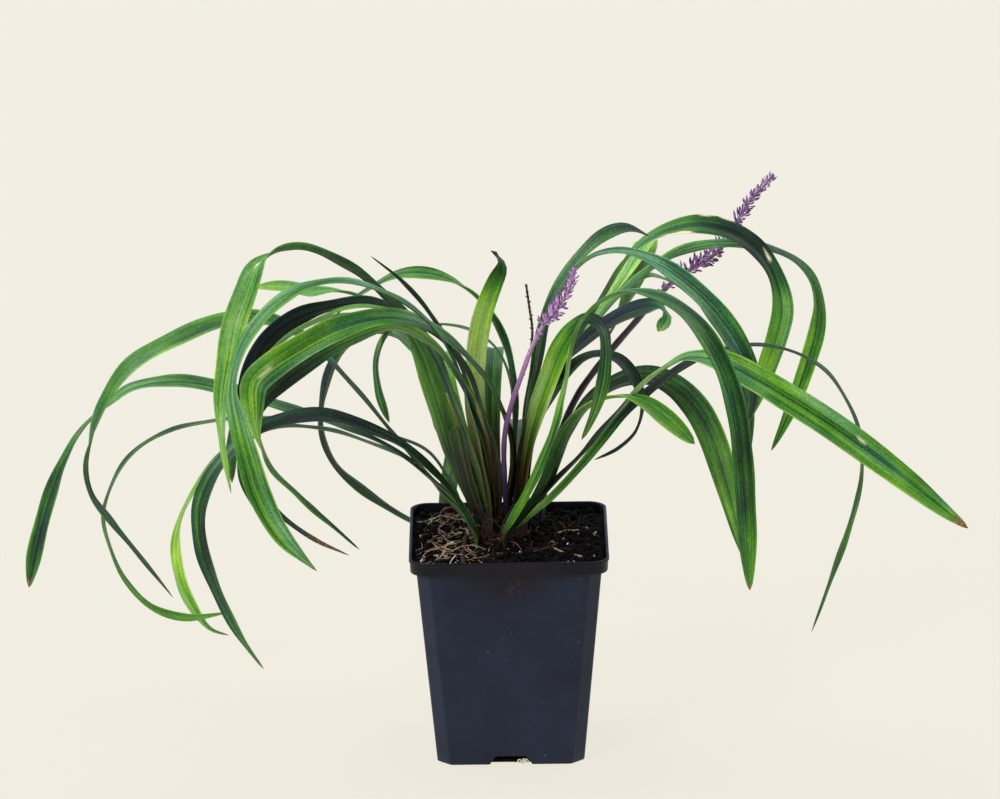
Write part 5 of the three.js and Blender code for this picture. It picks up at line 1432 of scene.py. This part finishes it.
def rootMaterial():
    # wiry root: corky skin, from straw to tan and brown, a little different on each root
    material, tree = newMaterial("corky root")
    tone = addNode(tree, "ShaderNodeAttribute", {"attribute_name": "tone"}).outputs["Fac"]
    spot = addNode(tree, "ShaderNodeTexCoord").outputs["Object"]
    cork = addNode(tree, "ShaderNodeTexNoise", values={"Scale": 1 / (1.6 * mm), "Detail": 4.0},
                   links={"Vector": spot})
    vary = addNode(tree, "ShaderNodeMath", {"operation": "MULTIPLY_ADD", "use_clamp": True},
                   {1: 0.6, 2: -0.3}, {0: cork.outputs["Fac"]})
    total = addNode(tree, "ShaderNodeMath", {"operation": "ADD", "use_clamp": True},
                    links={0: tone, 1: vary.outputs[0]})
    colour = addNode(tree, "ShaderNodeValToRGB", links={"Fac": total.outputs[0]})
    fillRamp(colour, [(0.0, "#2e191d"), (0.3, "#54382c"), (0.6, "#a48262"), (0.85, "#dccaaa"),
                      (1.0, "#f6efe0")])
    bump = addNode(tree, "ShaderNodeBump", values={"Strength": 0.6, "Distance": 0.12 * mm},
                   links={"Height": cork.outputs["Fac"]})
    bark = addNode(tree, "ShaderNodeBsdfPrincipled", values={"Roughness": 0.75, "Specular IOR Level": 0.2},
                   links={"Base Color": colour.outputs[0], "Normal": bump.outputs[0]})
    finishMaterial(tree, bark)
    return material


# A root that wanders over the soil, dipping under it here and there, until it meets the pot.
def addStray(heap, kind, draw):
    x, y = draw.uniform(*kind["x"]), draw.uniform(*kind["y"])
    heading, length, radius, hop = [draw.uniform(*span) for span in (
        (0, 6.3), kind["length"], kind["radius"], kind["hop"])]
    pale = "pale" in kind and x < kind["pale"]["leftOf"] and draw.random() < kind["pale"]["share"]
    tone = draw.uniform(*(kind["pale"] if pale else kind)["tone"])
    step = max(1.0, radius * 1.6)
    bend = draw.uniform(-kind["curl"], kind["curl"])
    phase = draw.uniform(0, 6)
    if not inPot(x, y, radius + 0.3):
        return
    run = []
    for i in range(int(length / step)):
        bend = 0.9 * (bend + 0.5 * draw.uniform(-kind["curl"], kind["curl"]))
        heading += bend
        x, y = x + math.cos(heading) * step, y + math.sin(heading) * step
        if not inPot(x, y, radius + 0.3):
            break
        rise = 0.5 + hop * (0.85 + math.sin(i * step * 0.22 + phase))
        run.append((x, y, soilHeight(x, y) + rise))
    if len(run) > 4:
        run = smoothRun(run, step * 0.8)
        shares = np.linspace(0, 1, len(run))
        radii = radius * (1 - 0.6 * shares) * (1 + 0.12 * np.sin(shares * 31 + phase))
        addTube(heap, run, radii, kind["sides"], tone=tone)


def addCrownRoot(heap, draw):
    angle = draw.uniform(0, 2 * math.pi)
    swing = draw.uniform(0.5, 1.4) * draw.choice((-1, 1))
    tall = draw.uniform(*crownRoots["top"]) - crownRoots["foot"]
    out = draw.uniform(0.85, 1.1)
    rows = []
    for share in (0, 0.25, 0.5, 0.75, 1):
        a = angle + swing * share
        x = crownRoots["middle"][0] + crownRoots["reach"][0] * out * math.cos(a)
        y = crownRoots["middle"][1] + crownRoots["reach"][1] * out * math.sin(a)
        arch = tall * math.sin(math.pi * (0.1 + 0.8 * share))
        rows.append((x, y, crownRoots["foot"] + arch + draw.uniform(-1, 1)))
    run = smoothRun(rows, 1.2)
    addTube(heap, run, np.full(len(run), draw.uniform(*crownRoots["radius"])), 5,
            tone=draw.uniform(*crownRoots["tone"]))


def addCoil(heap):
    angles = np.linspace(0, coil["winds"] * 2 * math.pi, 80)
    shares = angles / angles[-1]
    reach = coil["reach"] - coil["narrows"] * shares + 0.5 * np.sin(angles * 1.37)
    winding = np.column_stack([reach * np.cos(angles), 2.4 * np.sin(angles * 0.7),
                               0.85 * reach * np.sin(angles + 0.3)])
    addTube(heap, winding + coil["middle"], coil["radius"] - 0.1 * shares, 8, tone=coil["tone"])


def addSlotRoot(heap, draw):
    x = draw.uniform(*slotRoots["x"])
    rows = []
    for share in (0, 0.3, 0.6, 1):
        across = x + draw.uniform(-2.2, 2.2) * share
        out = slotRoots["y"] + 0.5 * share + draw.uniform(-0.2, 0.2)
        arch = slotRoots["tall"] * math.sin(math.pi * share) * draw.uniform(0.4, 1)
        rows.append((across, out, slotRoots["foot"] + arch))
    run = smoothRun(rows, 0.8)
    addTube(heap, run, np.full(len(run), draw.uniform(*slotRoots["radius"])), 6,
            tone=draw.uniform(*slotRoots["tone"]))


def makeRoots():
    draw = random.Random(31)
    heap = newHeap("tone")
    for number, spots in enumerate(rootRuns):
        run = smoothRun([(x, y, soilHeight(x, y) + rootSize["lift"]) for x, y in spots], rootSize["step"])
        shares = np.linspace(0, 1, len(run))
        swell = 1 + 0.12 * np.sin(shares * 40 + number)
        radii = rootSize["crossing" if number else "round"] * (1 - 0.4 * shares) * swell
        addTube(heap, run, radii, 8, tone=0.3 + 0.05 * number)
    for kind in strayRoots.values():
        for i in range(kind["count"]):
            addStray(heap, kind, draw)
    for i in range(crownRoots["count"]):
        addCrownRoot(heap, draw)
    addCoil(heap)
    stem = smoothRun(oldStem["run"], rootSize["step"])
    addTube(heap, stem, oldStem["radius"] + 0.2 * np.sin(np.arange(len(stem)) * 1.3), 10, tone=0.0)
    for i in range(slotRoots["count"]):
        addSlotRoot(heap, draw)
    makePiece("root_tangle", heap, rootMaterial(), ["surface_roots"])


stage = {
    "radius": 9000,
    "sides": 96,
    "world": "#e8efff",
    "front": 0.4,  # how bright the room is in front of the plant and behind it
    "behind": 0.95,
    "table": "#f3eee0",
    "lit": 0.87,
}


def makeStage():
    data = bpy.data.meshes.new("floor")
    ring = roundRing(stage["radius"], (0, 0), 0, stage["sides"])
    data.from_pydata((ring * mm).tolist(), [], [list(range(stage["sides"]))])
    floor = bpy.data.objects.new("floor", data)
    bpy.context.scene.collection.objects.link(floor)
    # milky glass over lamps, as on a light table: mostly its own even glow, so shadows on it are faint
    material, tree = newMaterial("light table")
    paint = addNode(tree, "ShaderNodeBsdfPrincipled", values={"Roughness": 0.9, "Specular IOR Level": 0.1,
                    "Base Color": linear("#454544"), "Emission Color": linear(stage["table"]),
                    "Emission Strength": stage["lit"]})
    finishMaterial(tree, paint)
    data.materials.append(material)


# Large soft lamps far away: turn is counted from the front, to the right, and tall is the height above level.
lamps = {
    "softbox left": {"turn": -115, "tall": 38, "spread": 32, "strength": 1.5, "colour": "#fffdf8"},
    "softbox right": {"turn": 125, "tall": 34, "spread": 32, "strength": 0.8, "colour": "#fffdf8"},
    "overhead": {"turn": 180, "tall": 74, "spread": 40, "strength": 1.0, "colour": "#eaf2ff"},
    "front left": {"turn": -40, "tall": 34, "spread": 20, "strength": 1.5, "colour": "#fbfcff"},
}


def makeLights():
    for name, lamp in lamps.items():
        data = bpy.data.lights.new(name, "SUN")
        data.energy = lamp["strength"]
        data.angle = math.radians(lamp["spread"])
        data.color = linear(lamp["colour"])[:3]
        light = bpy.data.objects.new(name, data)
        bpy.context.scene.collection.objects.link(light)
        turn, tall = math.radians(lamp["turn"]), math.radians(lamp["tall"])
        aim = -Vector((math.sin(turn) * math.cos(tall), -math.cos(turn) * math.cos(tall), math.sin(tall)))
        light.rotation_mode = "QUATERNION"
        light.rotation_quaternion = aim.to_track_quat("-Z", "Y")
    world = bpy.data.worlds.new("studio")
    bpy.context.scene.world = world
    world.use_nodes = True
    tree = world.node_tree
    air = tree.nodes["Background"]
    air.inputs["Color"].default_value = linear(stage["world"])
    # the room is brighter behind the plant than in front of it
    toward = addNode(tree, "ShaderNodeSeparateXYZ", links={
        "Vector": addNode(tree, "ShaderNodeTexCoord").outputs["Generated"]})
    glow = addNode(tree, "ShaderNodeMapRange", {"interpolation_type": "SMOOTHSTEP"}, {
        "From Min": -1.0, "From Max": 1.0, "To Min": stage["front"], "To Max": stage["behind"]},
        {"Value": toward.outputs["Y"]})
    tree.links.new(glow.outputs[0], air.inputs["Strength"])
    bpy.context.scene.view_settings.view_transform = "Standard"


makeCamera()
print("camera set")
makeStage()
makeLights()
print("floor and lights made")
makePot()
print("pot made")
makeSoil()
makeFlakes()
makeShadeBlock()
print("soil made")
makeRoots()
print("roots made")
makeShoots()
print("shoots made")
makeFlowers()
print("flowers made")
